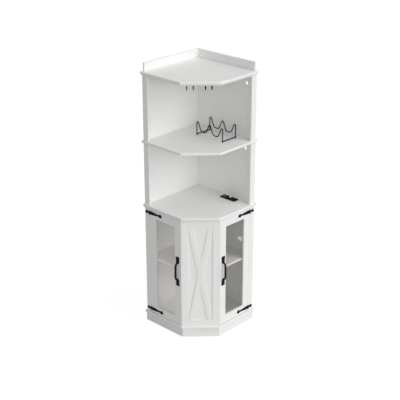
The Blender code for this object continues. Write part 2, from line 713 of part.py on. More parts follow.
def build_door(side, face, hand, patterns):
    """One glazed door on its two hinges, carried by an empty on the hinges' axis."""
    leaf_mesh, strap_mesh, grip_mesh = patterns
    pivot = frame(side + "_door_pivot", 0.0, face, (hand * PIVOT_ALONG, -PIVOT_OUT, 0.0))

    def along(value):
        return hand * (value - PIVOT_ALONG)

    def out(value):
        return PIVOT_OUT - value

    zs = (DOOR_FOOT, DOOR_HEAD)
    ys = (out(FRONT), out(DOOR_BACK))
    door = box(side + "_door_frame", pivot, (along(DOOR_START), along(DOOR_END)), ys, zs, WHITE)
    ease(door, BOARD_ROUNDING)
    window = (DOOR_START + HINGE_STILE, DOOR_END - FREE_STILE)
    low, high = DOOR_FOOT + DOOR_BOTTOM_RAIL, DOOR_HEAD - DOOR_TOP_RAIL
    cut(door, box(side + "_door_window", pivot, (along(window[0]), along(window[1])),
                  (out(FRONT + OVERRUN), out(DOOR_BACK - OVERRUN)), (low, high), helper=True))
    glass_front = FRONT - GLASS_SETBACK
    rebate = (along(window[0] - GLASS_REBATE), along(window[1] + GLASS_REBATE))
    cut(door, box(side + "_door_rebate", pivot, rebate,
                  (out(glass_front), out(DOOR_BACK - OVERRUN)),
                  (low - GLASS_REBATE, high + GLASS_REBATE), helper=True))
    fit = GLASS_REBATE - SEAT_GAP
    pane_front = glass_front - SEAT_GAP
    pane_back = pane_front - GLASS_THICK
    box(side + "_door_glass", pivot, (along(window[0] - fit), along(window[1] + fit)),
        (out(pane_front), out(pane_back)), (low - fit, high + fit), GLASS)
    bead_outs = (pane_back - SEAT_GAP - BEAD_THICK, pane_back - SEAT_GAP)
    spans = []
    for edge in (fit, fit - BEAD_WIDTH):
        x0, x1 = along(window[0] - edge), along(window[1] + edge)
        spans.append([(x0, low - edge), (x1, low - edge), (x1, high + edge), (x0, high + edge)])
    bead = plaque(side + "_door_glazing_bead", pivot, spans, bead_outs, WHITE)
    bead.location.y += PIVOT_OUT
    grip = add_mesh(side + "_door_handle", grip_mesh, pivot, BLACK)
    grip.location = (along(DOOR_END - HANDLE_FROM_EDGE), out(FRONT + SEAT_GAP), HANDLE_FOOT_Z)
    smooth(grip)
    strike_zs = strike_range()
    strike = catch_span()
    box(side + "_door_strike_plate", pivot, (along(strike[0]), along(strike[1])),
        (out(DOOR_BACK - SEAT_GAP), out(DOOR_BACK - SEAT_GAP - STRIKE_THICK)), strike_zs, STEEL)
    levels = (("upper", DOOR_HEAD - HINGE_TOP_OFFSET),
              ("lower", DOOR_FOOT + HINGE_FOOT_OFFSET))
    turn = 0.0 if hand == LEFT else math.pi
    for level, z in levels:
        fixed = add_mesh(f"{side}_{level}_hinge_leaf", leaf_mesh, face, BLACK)
        fixed.location = (hand * PIVOT_ALONG, -PIVOT_OUT, z)
        fixed.rotation_euler = (0.0, turn, 0.0)
        strap = add_mesh(f"{side}_{level}_hinge_strap", strap_mesh, pivot, BLACK)
        strap.location = (0.0, 0.0, z)
        strap.rotation_euler = (0.0, turn, 0.0)
        smooth(fixed)
        smooth(strap)


def catch_span():
    """Where a catch lies along its face, beside its upright."""
    end = UPRIGHT_SIDE - SEAT_GAP
    return end - CATCH_WIDTH, end


def strike_range():
    middle = PANEL_HEAD - CATCH_BELOW_TOP - CATCH_HEIGHT / 2
    return middle - STRIKE_HEIGHT / 2, middle + STRIKE_HEIGHT / 2


def build_catch(side, face, hand):
    start, end = catch_span()
    front = DOOR_BACK - SEAT_GAP - STRIKE_THICK - SEAT_GAP
    head = PANEL_HEAD - CATCH_BELOW_TOP
    ease(box(side + "_magnetic_catch", face, (hand * start, hand * end),
             (-front, -(front - CATCH_DEPTH)), (head - CATCH_HEIGHT, head), DARK), BOARD_ROUNDING)


def build_outlet(corner, counter):
    """A power outlet whose rim rests on the counter and whose body hangs through it."""
    xs = (OUTLET_ALONG, OUTLET_ALONG + OUTLET_LENGTH)
    ys = (-OUTLET_FROM_BACK, -(OUTLET_FROM_BACK + OUTLET_DEPTH))
    seat = COUNTER_TOP + SEAT_GAP
    head = seat + OUTLET_HEIGHT
    hole_xs = (xs[0] + OUTLET_RIM, xs[1] - OUTLET_RIM)
    hole_ys = (ys[0] - OUTLET_RIM, ys[1] + OUTLET_RIM)
    cut(counter, box("counter_top_cutout", corner, hole_xs, hole_ys,
                     (COUNTER_Z - OVERRUN, COUNTER_TOP + OVERRUN), helper=True))
    housing = box("power_outlet_housing", corner, xs, ys, (seat, head), PLASTIC)
    body_xs = (hole_xs[0] + SEAT_GAP, hole_xs[1] - SEAT_GAP)
    body_ys = (hole_ys[0] - SEAT_GAP, hole_ys[1] + SEAT_GAP)
    foot = COUNTER_TOP - OUTLET_BODY_DROP
    join(housing, box("power_outlet_body", corner, body_xs, body_ys,
                      (foot, seat + OUTLET_HEIGHT / 2), helper=True))
    middle = ((xs[0] + xs[1]) / 2, (ys[0] + ys[1]) / 2)
    join(housing, rod("power_outlet_gland", corner, (*middle, foot), GLAND_RADIUS,
                      GLAND_LENGTH + GLAND_LENGTH, Matrix.Identity(4), helper=True))
    inset = OUTLET_FACE_INSET
    pocket = (xs[0] + inset, xs[1] - inset)
    pocket_ys = (ys[0] - inset, ys[1] + inset)
    cut(housing, box("power_outlet_pocket", corner, pocket, pocket_ys,
                     (head - OUTLET_FACE_THICK - SEAT_GAP, head + OVERRUN), helper=True))
    box("power_outlet_socket_plate", corner, (pocket[0] + SEAT_GAP, pocket[1] - SEAT_GAP),
        (pocket_ys[0] - SEAT_GAP, pocket_ys[1] + SEAT_GAP), (head - OUTLET_FACE_THICK, head),
        PLASTIC)


def rounded_path(points, radius, steps=3):
    """The points with each inner corner turned into a short arc."""
    path = [Vector(points[0])]
    for before, here, after in zip(points, points[1:], points[2:]):
        here = Vector(here)
        back = (Vector(before) - here).normalized() * radius
        on = (Vector(after) - here).normalized() * radius
        for step in range(steps + 1):
            share = step / steps
            path.append(here + back * (1 - share) ** 2 + on * share ** 2)
    path.append(Vector(points[-1]))
    return path


def build_stem_rails(centre_face):
    """Two hairpins of wire under the top, each holding a row of glasses by their feet."""
    top = ROOF_Z - SEAT_GAP - STEM_WIRE_RADIUS
    low = ROOF_Z - STEM_DROP
    front = CENTRE_EDGE - STEM_FRONT_INSET
    back = front - STEM_RUN
    for name, middle in (("left_stemware_rail", -STEM_ROWS_SHIFT - STEM_ROW_SPACING / 2),
                         ("right_stemware_rail", STEM_ROW_SPACING / 2 - STEM_ROWS_SHIFT)):
        a, b = middle - STEM_SLOT / 2, middle + STEM_SLOT / 2
        corners = [(a, -front, ROOF_Z - SEAT_GAP), (a, -front, low), (a, -back, low),
                   (a, -back, top), (b, -back, top), (b, -back, low), (b, -front, low),
                   (b, -front, ROOF_Z - SEAT_GAP)]
        smooth(wire(name, centre_face, rounded_path(corners, STEM_BEND), STEM_WIRE_RADIUS, BLACK))


def build_wine_rack(corner):
    """Two waves of wire on two bars. Bottles lie across the waves, in their valleys."""
    rack = frame("wine_rack_stand", 0.0, corner,
                 (RACK_LEFT, -RACK_BACK, MIDDLE_TOP + SEAT_GAP))
    bar_z = RACK_FOOT_RADIUS
    peak = RACK_PEAK - RACK_SHOULDER
    width = RACK_SHOULDER + RACK_CRADLES * RACK_CRADLE + RACK_SHOULDER
    wave = [(0.0, bar_z)]
    for step in range(4):
        angle = math.pi - math.pi / 2 * step / 4
        wave.append((RACK_SHOULDER + RACK_SHOULDER * math.cos(angle),
                     peak + RACK_SHOULDER * math.sin(angle)))
    for index in range(RACK_CRADLES * RACK_STEPS + 1):
        turns = index / RACK_STEPS
        rise = ((1 + math.cos(2 * math.pi * turns)) / 2) ** RACK_POWER
        wave.append((RACK_SHOULDER + turns * RACK_CRADLE,
                     RACK_VALLEY + (RACK_PEAK - RACK_VALLEY) * rise))
    wave += [(width - x, z) for x, z in wave[4::-1]]
    depths = (("back", 0.0), ("front", -RACK_DEPTH))
    pieces = []
    for name, y in depths:
        pieces.append(wire(f"wine_rack_{name}_wave", rack, [(x, y, z) for x, z in wave],
                           RACK_WIRE_RADIUS, helper=True))
    for name, x in (("left", 0.0), ("right", width)):
        pieces.append(rod(f"wine_rack_{name}_bar", rack, (x, -RACK_DEPTH / 2, bar_z),
                          RACK_WIRE_RADIUS, RACK_DEPTH, Matrix.Rotation(math.pi / 2, 4, "X"),
                          helper=True, segments=8))
        for where, y in depths:
            pieces.append(rod(f"wine_rack_{name}_{where}_foot", rack, (x, y, bar_z),
                              RACK_FOOT_RADIUS, bar_z + bar_z, Matrix.Identity(4), helper=True,
                              segments=12))
    body = add_mesh("wine_rack", pieces[0].data.copy(), rack, BLACK)
    for other in pieces[1:]:
        join(body, other)
    smooth(body)


def build():
    corner_spot = (-MIDDLE_OF_BOX, MIDDLE_OF_BOX, 0.0)
    corner = frame("left_face", 0.0, place=corner_spot)
    centre_face = frame("centre_face", math.pi / 4, place=corner_spot)
    right_face = frame("right_face", math.pi / 2, place=corner_spot)
    build_plinth(corner)
    counter, lower_left, lower_right = build_carcass(corner, right_face, centre_face)
    build_centre_panel(corner, right_face, centre_face)
    build_shelf(corner, right_face, lower_left, lower_right)
    patterns = (*hinge_meshes(), handle_mesh())
    for side, face, hand in (("left", corner, LEFT), ("right", right_face, RIGHT)):
        build_door(side, face, hand, patterns)
        build_catch(side, face, hand)
    build_outlet(corner, counter)
    build_stem_rails(centre_face)
    build_wine_rack(corner)


build()
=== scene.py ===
"""Visual model of a five-sided corner bar cabinet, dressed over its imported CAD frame."""

import json
import logging
import math
from dataclasses import dataclass, field
from enum import Enum
from functools import cache
from typing import Callable, Iterable, Sequence

import bmesh
import bpy
import numpy as np
from mathutils import Matrix, Vector
from numpy.typing import NDArray

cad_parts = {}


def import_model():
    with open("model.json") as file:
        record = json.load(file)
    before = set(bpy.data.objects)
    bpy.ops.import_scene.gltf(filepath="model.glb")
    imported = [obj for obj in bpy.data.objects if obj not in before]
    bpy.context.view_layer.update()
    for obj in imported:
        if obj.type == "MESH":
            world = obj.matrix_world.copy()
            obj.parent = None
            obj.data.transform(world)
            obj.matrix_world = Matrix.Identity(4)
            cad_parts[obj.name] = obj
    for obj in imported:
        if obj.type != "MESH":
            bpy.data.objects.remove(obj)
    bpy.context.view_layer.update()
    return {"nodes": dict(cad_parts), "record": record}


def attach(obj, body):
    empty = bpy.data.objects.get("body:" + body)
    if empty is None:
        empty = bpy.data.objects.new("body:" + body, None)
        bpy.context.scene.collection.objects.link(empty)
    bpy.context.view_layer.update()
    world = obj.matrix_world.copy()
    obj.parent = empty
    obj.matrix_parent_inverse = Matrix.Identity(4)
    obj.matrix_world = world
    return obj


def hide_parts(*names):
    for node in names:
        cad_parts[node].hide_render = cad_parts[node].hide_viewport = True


LOG = logging.getLogger("corner_bar_cabinet")
Array = NDArray[np.float64]
Ring = tuple[float, float, float, float, float]
Tree = bpy.types.NodeTree
Socket = bpy.types.NodeSocket
ROOT_TWO = math.sqrt(2.0)
FULL_TURN = 2 * math.pi
QUARTER_TURN = math.pi / 2
MM = 0.001
# Below this a length or a share counts as nought
TINY = 1e-9
# Points nearer to each other than the first are merged, and edges below the second are dropped
MERGE_DISTANCE = 2e-6
SHORTEST_EDGE = 1e-7
# An outline's corner arcs have this many times the radius of its eased edges
ARC_PER_EASE = 1.6
# An arc reaches at most this many radii, and this share of the shorter edge, from its corner
ARC_REACH = 2.0
ARC_EDGE_SHARE = 0.45
# The least that a mitre is divided by, which keeps it short at a sharp corner
MITRE_LEAST = 0.3
# A bar's ring starts from this direction, which no bar here runs along
SLANT = np.array([0.36, 0.48, 0.80])
# Edges that bend more than this many degrees stay sharp, on ironwork and on all other pieces
IRON_SHARP = 40.0
BOARD_SHARP = 35.0
# The middle point of a softened corner lies this share of its size in from both faces
SOFT_MIDDLE = 0.3
# A screw head's rim lies this far below the face of its plate
SCREW_SUNK = 0.05 * MM
# Heights of a door's hinges
HINGE_HEIGHTS = {"upper": 0.8110, "lower": 0.1080}
# Sockets of the colour mixing node, which has several of each name
MIX_SHARE, MIX_FIRST, MIX_SECOND, MIX_RESULT = 0, 6, 7, 2
# The part of its range in which a noise nearly always is
NOISE_MIDDLE = (0.3, 0.7)
WHITE = (1.0, 1.0, 1.0, 1.0)
# The floor's cards change along this direction in plan, which is x + y
CARD_DIRECTION = (0.7071, 0.7071, 0.0)


# Mesh maths


@dataclass
class Shell:
    """Points with the faces between them, kept as arrays until the mesh is made."""

    points: Array
    quads: NDArray[np.int64]
    caps: list[NDArray[np.int64]] = field(default_factory=list)

    def moved(self, change: Callable[[Array], Array]) -> "Shell":
        """The same faces on points that a function has changed."""
        return Shell(change(self.points), self.quads, self.caps)


def join_shells(shells: Sequence[Shell]) -> Shell:
    """Puts several shells into one, each keeping its own points.

    Args:
        shells: the shells, in any order.

    Returns:
        One shell whose face numbers are shifted by the points before them.
    """
    starts = np.cumsum([0] + [len(shell.points) for shell in shells[:-1]])
    quads = [shell.quads + start for shell, start in zip(shells, starts)]
    caps = [cap + start for shell, start in zip(shells, starts) for cap in shell.caps]
    return Shell(np.concatenate([s.points for s in shells]), np.concatenate(quads), caps)


def grid_shell(points: Array, capped: bool = True) -> Shell:
    """A grid of points as quads: rows run along the shape, columns run round it.

    Face (i, j) joins points (i, j), (i, j+1), (i+1, j+1) and (i+1, j), and the last column joins
    the first. A capped grid closes its first and last rows with one face each.

    Args:
        points: array of shape (rows, columns, 3).
        capped: whether the two end rows are closed.

    Returns:
        The shell.
    """
    rows, columns = points.shape[:2]
    index = np.arange(rows * columns).reshape(rows, columns)
    ahead = np.roll(index, -1, axis=1)
    quads = np.stack([index[:-1], ahead[:-1], ahead[1:], index[1:]], axis=-1).reshape(-1, 4)
    caps = [index[0][::-1].copy(), index[-1].copy()] if capped else []
    return Shell(points.reshape(-1, 3).astype(float), quads, caps)


def around(sides: int) -> Array:
    """Angles of points spaced evenly round a circle, from 0."""
    return np.linspace(0, FULL_TURN, sides, endpoint=False)


def quarter_round(radius: float, steps: int) -> tuple[Array, Array]:
    """A quarter round as r (1 - sin a) and r (1 - cos a), for a from 0 to 90 degrees.

    Args:
        radius: radius r of the rounding.
        steps: segments in it.

    Returns:
        The first part, which falls from r to 0, and the second, which rises from 0 to r.
    """
    angle = np.linspace(0, QUARTER_TURN, steps + 1)
    return radius * (1 - np.sin(angle)), radius * (1 - np.cos(angle))


def bent_corners(here: Array, back: Array, on: Array, reach: Array | float,
                 steps: int) -> Array:
    """Points p + t (a (1-s)^2 + b s^2) for s from 0 to 1, which bend each corner p.

    Args:
        here: the corners p.
        back: unit directions a to the corners before them.
        on: unit directions b to the corners after them.
        reach: how far t along both edges each bend starts and ends.
        steps: segments in a bend.

    Returns:
        Points of shape (corners, steps + 1, 2 or 3).
    """
    share = np.linspace(0, 1, steps + 1)[None, :, None]
    return here[:, None] + reach * (back[:, None] * (1 - share) ** 2 + on[:, None] * share ** 2)


def rounded_outline(outline: Array, radius: float, steps: int = 4) -> Array:
    """Swaps each corner of a closed outline for an arc, as bent_corners gives it.

    Its reach is the tangent length for the radius, r / tan(half the angle at the corner).

    Args:
        outline: corners in order, shape (n, 2).
        radius: radius of the arcs in metres.
        steps: segments in an arc.

    Returns:
        Points of the outline, shape (n * (steps + 1), 2).
    """
    back = np.roll(outline, 1, axis=0) - outline
    on = np.roll(outline, -1, axis=0) - outline
    back_length = np.linalg.norm(back, axis=1, keepdims=True)
    on_length = np.linalg.norm(on, axis=1, keepdims=True)
    back, on = back / back_length, on / on_length
    half = np.arccos(np.clip((back * on).sum(axis=1), -1, 1)) / 2
    reach = np.minimum(radius / np.maximum(np.tan(half), TINY), radius * ARC_REACH)[:, None]
    reach = np.minimum(reach, ARC_EDGE_SHARE * np.minimum(back_length, on_length))
    return bent_corners(outline, back, on, reach[:, None], steps).reshape(-1, 2)


def inset_outline(outline: Array, depth: float) -> Array:
    """Moves every edge of a closed outline inwards by the same depth.

    With unit edge normals m and n on the two sides of a corner, it moves by
    depth (m + n) / (1 + m.n), which keeps both edges parallel to where they were.

    Args:
        outline: corners in order, shape (n, 2).
        depth: how far the edges move, outwards if it is below 0.

    Returns:
        The moved corners, shape (n, 2).
    """
    edge = np.roll(outline, -1, axis=0) - outline
    edge /= np.maximum(np.linalg.norm(edge, axis=1, keepdims=True), TINY)
    x, y = outline.T
    area = (x * np.roll(y, -1) - y * np.roll(x, -1)).sum()
    normal = np.stack([-edge[:, 1], edge[:, 0]], axis=1) * np.sign(area)
    before = np.roll(normal, 1, axis=0)
    scale = 1 + (normal * before).sum(axis=1, keepdims=True)
    return outline + depth * (normal + before) / np.maximum(scale, MITRE_LEAST)


def eased_prism(outline: Array, low: float, high: float, ease: float, steps: int = 3) -> Shell:
    """A flat board of any outline whose long edges are rounded over.

    The rings follow a quarter round up the lower edge, and the upper edge mirrors it. Arcs in the
    outline have to be larger than its radius by ARC_PER_EASE, or the inner rings would cross
    themselves.

    Args:
        outline: closed outline, shape (n, 2).
        low: height of the lower face.
        high: height of the upper face.
        ease: radius of the rounding.
        steps: segments of the rounding.

    Returns:
        The shell, with its heights in the third column.
    """
    insets, rise = quarter_round(ease, steps)
    heights = np.concatenate([low + rise, high - rise[::-1]])
    rings = np.stack([inset_outline(outline, inset)
                      for inset in np.concatenate([insets, insets[::-1]])])
    tall = np.broadcast_to(heights[:, None, None], (*rings.shape[:2], 1))
    return grid_shell(np.concatenate([rings, tall], axis=2))


def tube(path: Array, radius: Array | float, sides: int = 16) -> Shell:
    """A round bar along a path.

    At each point with unit tangent t, the ring is p + r (u cos a + w sin a), where u is SLANT made
    square to t, and w is t x u.

    Args:
        path: points p along the middle, shape (n, 3).
        radius: radius r, one for all or one for each point.
        sides: points in a ring.

    Returns:
        The shell, closed at both ends.
    """
    path = np.asarray(path, float)
    tangent = np.gradient(path, axis=0)
    tangent /= np.linalg.norm(tangent, axis=1, keepdims=True)
    u = SLANT - tangent * (tangent @ SLANT)[:, None]
    u /= np.linalg.norm(u, axis=1, keepdims=True)
    w = np.cross(tangent, u)
    angle = around(sides)
    size = np.broadcast_to(np.asarray(radius, float), (len(path),))[:, None, None]
    ring = u[:, None] * np.cos(angle)[None, :, None] + w[:, None] * np.sin(angle)[None, :, None]
    return grid_shell(path[:, None] + size * ring)


def turned(profile: Array, sides: int = 32) -> Shell:
    """A turned shape about the third axis: (r cos a, r sin a, h) for each row (r, h).

    Args:
        profile: radius r and height h, shape (n, 2), from the foot up.
        sides: points in a ring.

    Returns:
        The shell, closed at both ends.
    """
    angle = around(sides)
    radius, height = np.asarray(profile, float).T
    x = radius[:, None] * np.cos(angle)
    y = radius[:, None] * np.sin(angle)
    z = np.broadcast_to(height[:, None], x.shape)
    return grid_shell(np.stack([x, y, z], axis=-1))


def dome_profile(radius: float, height: float, steps: int = 8, skirt_share: float = 0.18,
                 crown_share: float = 0.02) -> Array:
    """A quarter ellipse from its rim to its crown, over a short upright skirt.

    Args:
        radius: radius at the rim.
        height: height of the crown.
        steps: points on the ellipse.
        skirt_share: share of the height that the skirt takes.
        crown_share: share of the radius that the flat crown takes.

    Returns:
        Rows of radius and height.
    """
    angle = np.linspace(0, QUARTER_TURN, steps)
    lift = skirt_share + (1 - skirt_share) * np.sin(angle)
    rise = np.stack([radius * np.cos(angle), height * lift], axis=1)
    return np.concatenate([[[radius, 0.0]], rise[:-1], [[radius * crown_share, height]]])


def smooth_path(corners: Array, bend: float, steps: int = 8) -> Array:
    """A path through space whose inner corners are bent, as bent_corners gives it.

    Args:
        corners: the path's corners, shape (n, 3).
        bend: how far from its corner each bend starts and ends.
        steps: segments in a bend.

    Returns:
        Points of the path, with both ends kept.
    """
    here = corners[1:-1]
    back = corners[:-2] - here
    on = corners[2:] - here
    back /= np.linalg.norm(back, axis=1, keepdims=True)
    on /= np.linalg.norm(on, axis=1, keepdims=True)
    arcs = bent_corners(here, back, on, bend, steps).reshape(-1, 3)
    return np.concatenate([corners[:1], arcs, corners[-1:]])


# The cabinet's plan


@dataclass(frozen=True)
class Plan:
    """Sizes of the cabinet in metres, as the CAD has them, and the levels between them."""

    wall_run: float = 0.521
    face_run: float = 0.3457
    plate_thick: float = 0.016
    overhang: float = 0.0094
    centre_overhang: float = 0.0137
    plinth_height: float = 0.064
    lower_tier: float = 0.763
    middle_tier: float = 0.420
    upper_tier: float = 0.434
    gallery_height: float = 0.055
    counter_mould: float = 0.0115
    top_mould: float = 0.009
    seat_gap: float = 0.0003
    wall_thick: float = 0.012
    post_width: float = 0.0435
    post_thick: float = 0.016
    panel_thick: float = 0.018
    door_thick: float = 0.016
    door_free_gap: float = 0.0012
    handle_out: float = 0.028

    @property
    def base_top(self) -> float:
        """Upper face of the base panel."""
        return self.plinth_height + self.plate_thick

    @property
    def counter_z(self) -> float:
        """Underside of the counter."""
        return self.base_top + self.lower_tier

    @property
    def counter_top(self) -> float:
        """Upper face of the counter."""
        return self.counter_z + self.plate_thick

    @property
    def middle_z(self) -> float:
        """Underside of the middle shelf."""
        return self.counter_top + self.middle_tier

    @property
    def middle_top(self) -> float:
        """Upper face of the middle shelf."""
        return self.middle_z + self.plate_thick

    @property
    def roof_z(self) -> float:
        """Underside of the top panel."""
        return self.middle_top + self.upper_tier

    @property
    def roof_top(self) -> float:
        """Upper face of the top panel."""
        return self.roof_z + self.plate_thick

    @property
    def front(self) -> float:
        """Distance of the posts' and doors' faces from the opposite wall of the room."""
        return self.wall_run - self.overhang

    @property
    def post_back(self) -> float:
        """Distance of the posts' back faces."""
        return self.front - self.post_thick

    @property
    def centre_edge(self) -> float:
        """Distance of the plates' centre edge from the corner, along the diagonal."""
        return (self.wall_run + self.face_run) / ROOT_TWO

    @property
    def centre_front(self) -> float:
        """Distance of the centre panel's face from the corner, along the diagonal."""
        return self.centre_edge - self.centre_overhang

    @property
    def panel_corner(self) -> float:
        """Where the centre panel meets a door, along the door's face."""
        return ROOT_TWO * self.centre_front - self.front

    @property
    def panel_half(self) -> float:
        """Half the width of the centre panel."""
        return (self.front - self.panel_corner) / ROOT_TWO

    @property
    def door_end(self) -> float:
        """Where a door ends beside the centre panel, along its face."""
        return self.panel_corner - self.door_free_gap

    @property
    def half_box(self) -> float:
        """Half the side of the object's box in plan."""
        return (self.front + self.handle_out) / 2

    def outline(self, back: float, front: float, centre: float) -> Array:
        """The five corners of a plate, set in from its back, face and centre edges.

        Args:
            back: inset from the two edges at the room's walls.
            front: inset from the two door edges.
            centre: inset from the diagonal edge.

        Returns:
            Corners as distances from the room's left and right walls, shape (5, 2).
        """
        side = self.wall_run - front
        corner = self.wall_run + self.face_run - ROOT_TWO * centre - side
        return np.array([[back, back], [back, side], [corner, side], [side, corner],
                         [side, back]])


PLAN = Plan()


class Face(Enum):
    """One of the three faces, by its directions along the face and out of it."""

    LEFT = ((1.0, 0.0), (0.0, -1.0))
    RIGHT = ((0.0, -1.0), (1.0, 0.0))
    CENTRE = ((1 / ROOT_TWO, 1 / ROOT_TWO), (1 / ROOT_TWO, -1 / ROOT_TWO))

    def place(self, points: Array) -> Array:
        """Puts points on the face: in plan corner + along * A + out * O, for its directions A, O.

        Args:
            points: rows of (along, out, up) from the cabinet's back corner.

        Returns:
            The points in the part's frame.
        """
        along, out = np.array(self.value[0]), np.array(self.value[1])
        corner = np.array([-PLAN.half_box, PLAN.half_box])
        plan = corner + points[:, :1] * along + points[:, 1:2] * out
        return np.concatenate([plan, points[:, 2:3]], axis=1)

    def place_sheet(self, points: Array) -> Array:
        """Puts rows of (along, up, out), such as a flat outline's with its depth, on the face."""
        return self.place(points[:, [0, 2, 1]])


class Side(Enum):
    """The two doors, by the face that each one closes."""

    LEFT = Face.LEFT
    RIGHT = Face.RIGHT

    @property
    def word(self) -> str:
        """The side's name, as the nodes use it."""
        return self.name.lower()


def plan_place(points: Array) -> Array:
    """Puts rows of distances from the left and right walls and height in the part's frame."""
    return np.stack([points[:, 0] - PLAN.half_box, PLAN.half_box - points[:, 1], points[:, 2]],
                    axis=1)


def plan_place_upright(points: Array) -> Array:
    """Puts rows of (distance from the left wall, height, distance from the right) in the frame."""
    return plan_place(points[:, [0, 2, 1]])


def rectangle(x0: float, x1: float, y0: float, y1: float) -> Array:
    """Corners of a rectangle, counterclockwise."""
    low_x, high_x, low_y, high_y = min(x0, x1), max(x0, x1), min(y0, y1), max(y0, y1)
    return np.array([[low_x, low_y], [high_x, low_y], [high_x, high_y], [low_x, high_y]])


def board(face: Face, along: tuple[float, float], out: tuple[float, float],
          up: tuple[float, float], ease: float) -> Shell:
    """A straight board on a face with every edge eased.

    Its outline on the face is a rectangle with small arcs for corners, carried through the
    board's thickness as eased_prism describes.

    Args:
        face: the face that it stands on.
        along: where it starts and ends along the face.
        out: its back and its front, out of the face.
        up: its foot and its head.
        ease: rounding of its edges.

    Returns:
        The shell in the part's frame.
    """
    outline = rounded_outline(rectangle(*along, *up), ARC_PER_EASE * ease, 3)
    return eased_prism(outline, min(out), max(out), ease).moved(face.place_sheet)


def rect_rings(rings: Sequence[Ring], radius: float = 0.0, steps: int = 3) -> Shell:
    """A picture frame of any section, as rectangles at given depths joined into a closed ring.

    Row k is the rectangle (x0, x1, z0, z1) of ring k at its depth, and the last row joins the
    first, so the section may hold rebates, eased edges and slanted ends.

    Args:
        rings: x0, x1, z0, z1 and depth of each rectangle, in order round the section.
        radius: radius of the rectangles' corners.
        steps: segments in a corner.

    Returns:
        The shell, with points as (along, out, up).
    """
    rows = []
    for x0, x1, z0, z1, depth in rings:
        line = rectangle(x0, x1, z0, z1)
        line = rounded_outline(line, radius, steps) if radius else line
        rows.append(np.insert(line, 1, depth, axis=1))
    points = np.stack(rows)
    return grid_shell(np.concatenate([points, points[:1]]), capped=False)


def joinery_frame(outer: Callable[[float, float], Ring], window: Callable[[float, float], Ring],
                  depths: tuple[float, float, float], eases: tuple[float, float],
                  rebate: float, steps: int = 3) -> Shell:
    """A frame of stiles and rails round a window, with a rebate behind it for what it holds.

    Its section goes up the outer edge, rounded over at back and front, over the window's rounded
    edge, down to the rebate and out at the back.

    Args:
        outer: the outer rectangle, set in by a length, at a depth.
        window: the window's rectangle, grown by a length, at a depth.
        depths: the frame's back, the rebate's floor and the frame's front.
        eases: rounding of the outer edges and of the window's edge.
        rebate: how much wider than the window the rebate is, all round.
        steps: segments of a rounding.

    Returns:
        The shell, with points as (along, out, up).
    """
    back, seat, front = depths
    fall, rise = quarter_round(eases[0], steps)
    rings = [outer(inset, back + depth) for inset, depth in zip(fall, rise)]
    rings += [outer(inset, front - depth) for inset, depth in zip(rise, fall)]
    rings += [window(grow, front - depth) for grow, depth in zip(*quarter_round(eases[1], steps))]
    rings += [window(0, seat), window(rebate, seat), window(rebate, back)]
    return rect_rings(rings)


def polar_reach(outline: Array, centre: Array, angles: Array) -> Array:
    """Distance from a centre to the edge of a convex outline at each angle.

    For each edge with outward normal n and distance h from the centre, a ray with direction d
    meets it at h / (n.d), and the nearest edge ahead of the ray is the one it leaves through.

    Args:
        outline: convex outline, shape (n, 2).
        centre: the point inside it that the rays start from.
        angles: the rays' directions.

    Returns:
        One distance for each angle.
    """
    edge = np.roll(outline, -1, axis=0) - outline
    keep = np.linalg.norm(edge, axis=1) > TINY
    edge, start = edge[keep], outline[keep]
    normal = np.stack([edge[:, 1], -edge[:, 0]], axis=1)
    normal /= np.linalg.norm(normal, axis=1, keepdims=True)
    height = (normal * (start - centre)).sum(axis=1)
    normal = normal * np.sign(height)[:, None]
    ahead = np.stack([np.cos(angles), np.sin(angles)], axis=1) @ normal.T
    reach = np.where(ahead > TINY, np.abs(height) / np.maximum(ahead, TINY), np.inf)
    return reach.min(axis=1)


def holed_prism(outline: Array, hole: Array, low: float, high: float, ease: float,
                hole_ease: float, steps: int = 3, places: int = 6) -> Shell:
    """A flat board with one convex hole through it, its long edges rounded over.

    Columns are rays from the hole's middle to every corner of both outlines. Rows go up the eased
    outer edge, over the upper face, down the hole's side and back over the lower face.

    Args:
        outline: convex outer outline, shape (n, 2).
        hole: convex outline of the hole, shape (m, 2).
        low: height of the lower face.
        high: height of the upper face.
        ease: rounding of the outer edges.
        hole_ease: rounding of the hole's edges.
        steps: segments of a rounding.
        places: decimals to which two rays' angles are told apart.

    Returns:
        The shell, with its heights in the third column.
    """
    centre = hole.mean(axis=0)
    corners = np.concatenate([outline, hole]) - centre
    angles = np.unique(np.round(np.arctan2(corners[:, 1], corners[:, 0]), places))
    ray = np.stack([np.cos(angles), np.sin(angles)], axis=1)

    def edge_rows(line: Array, size: float, sign: float) -> list[Array]:
        """Rows up one side with its edges rounded over.

        Args:
            line: the outline of the side.
            size: radius of the rounding.
            sign: 1 for the outer side and -1 for the hole's.

        Returns:
            Points of each row, from the foot up.
        """
        inset, rise = quarter_round(size, steps)
        rows = []
        for depth, height in zip(np.concatenate([inset, inset[::-1]]),
                                 np.concatenate([low + rise, high - rise[::-1]])):
            reach = polar_reach(inset_outline(line, depth * sign), centre, angles)
            rows.append(np.insert(centre + ray * reach[:, None], 2, height, axis=1))
        return rows

    outer = edge_rows(outline, ease, 1.0)
    inner = edge_rows(hole, hole_ease, -1.0)[::-1]
    return grid_shell(np.stack(outer + inner + outer[:1]), capped=False)


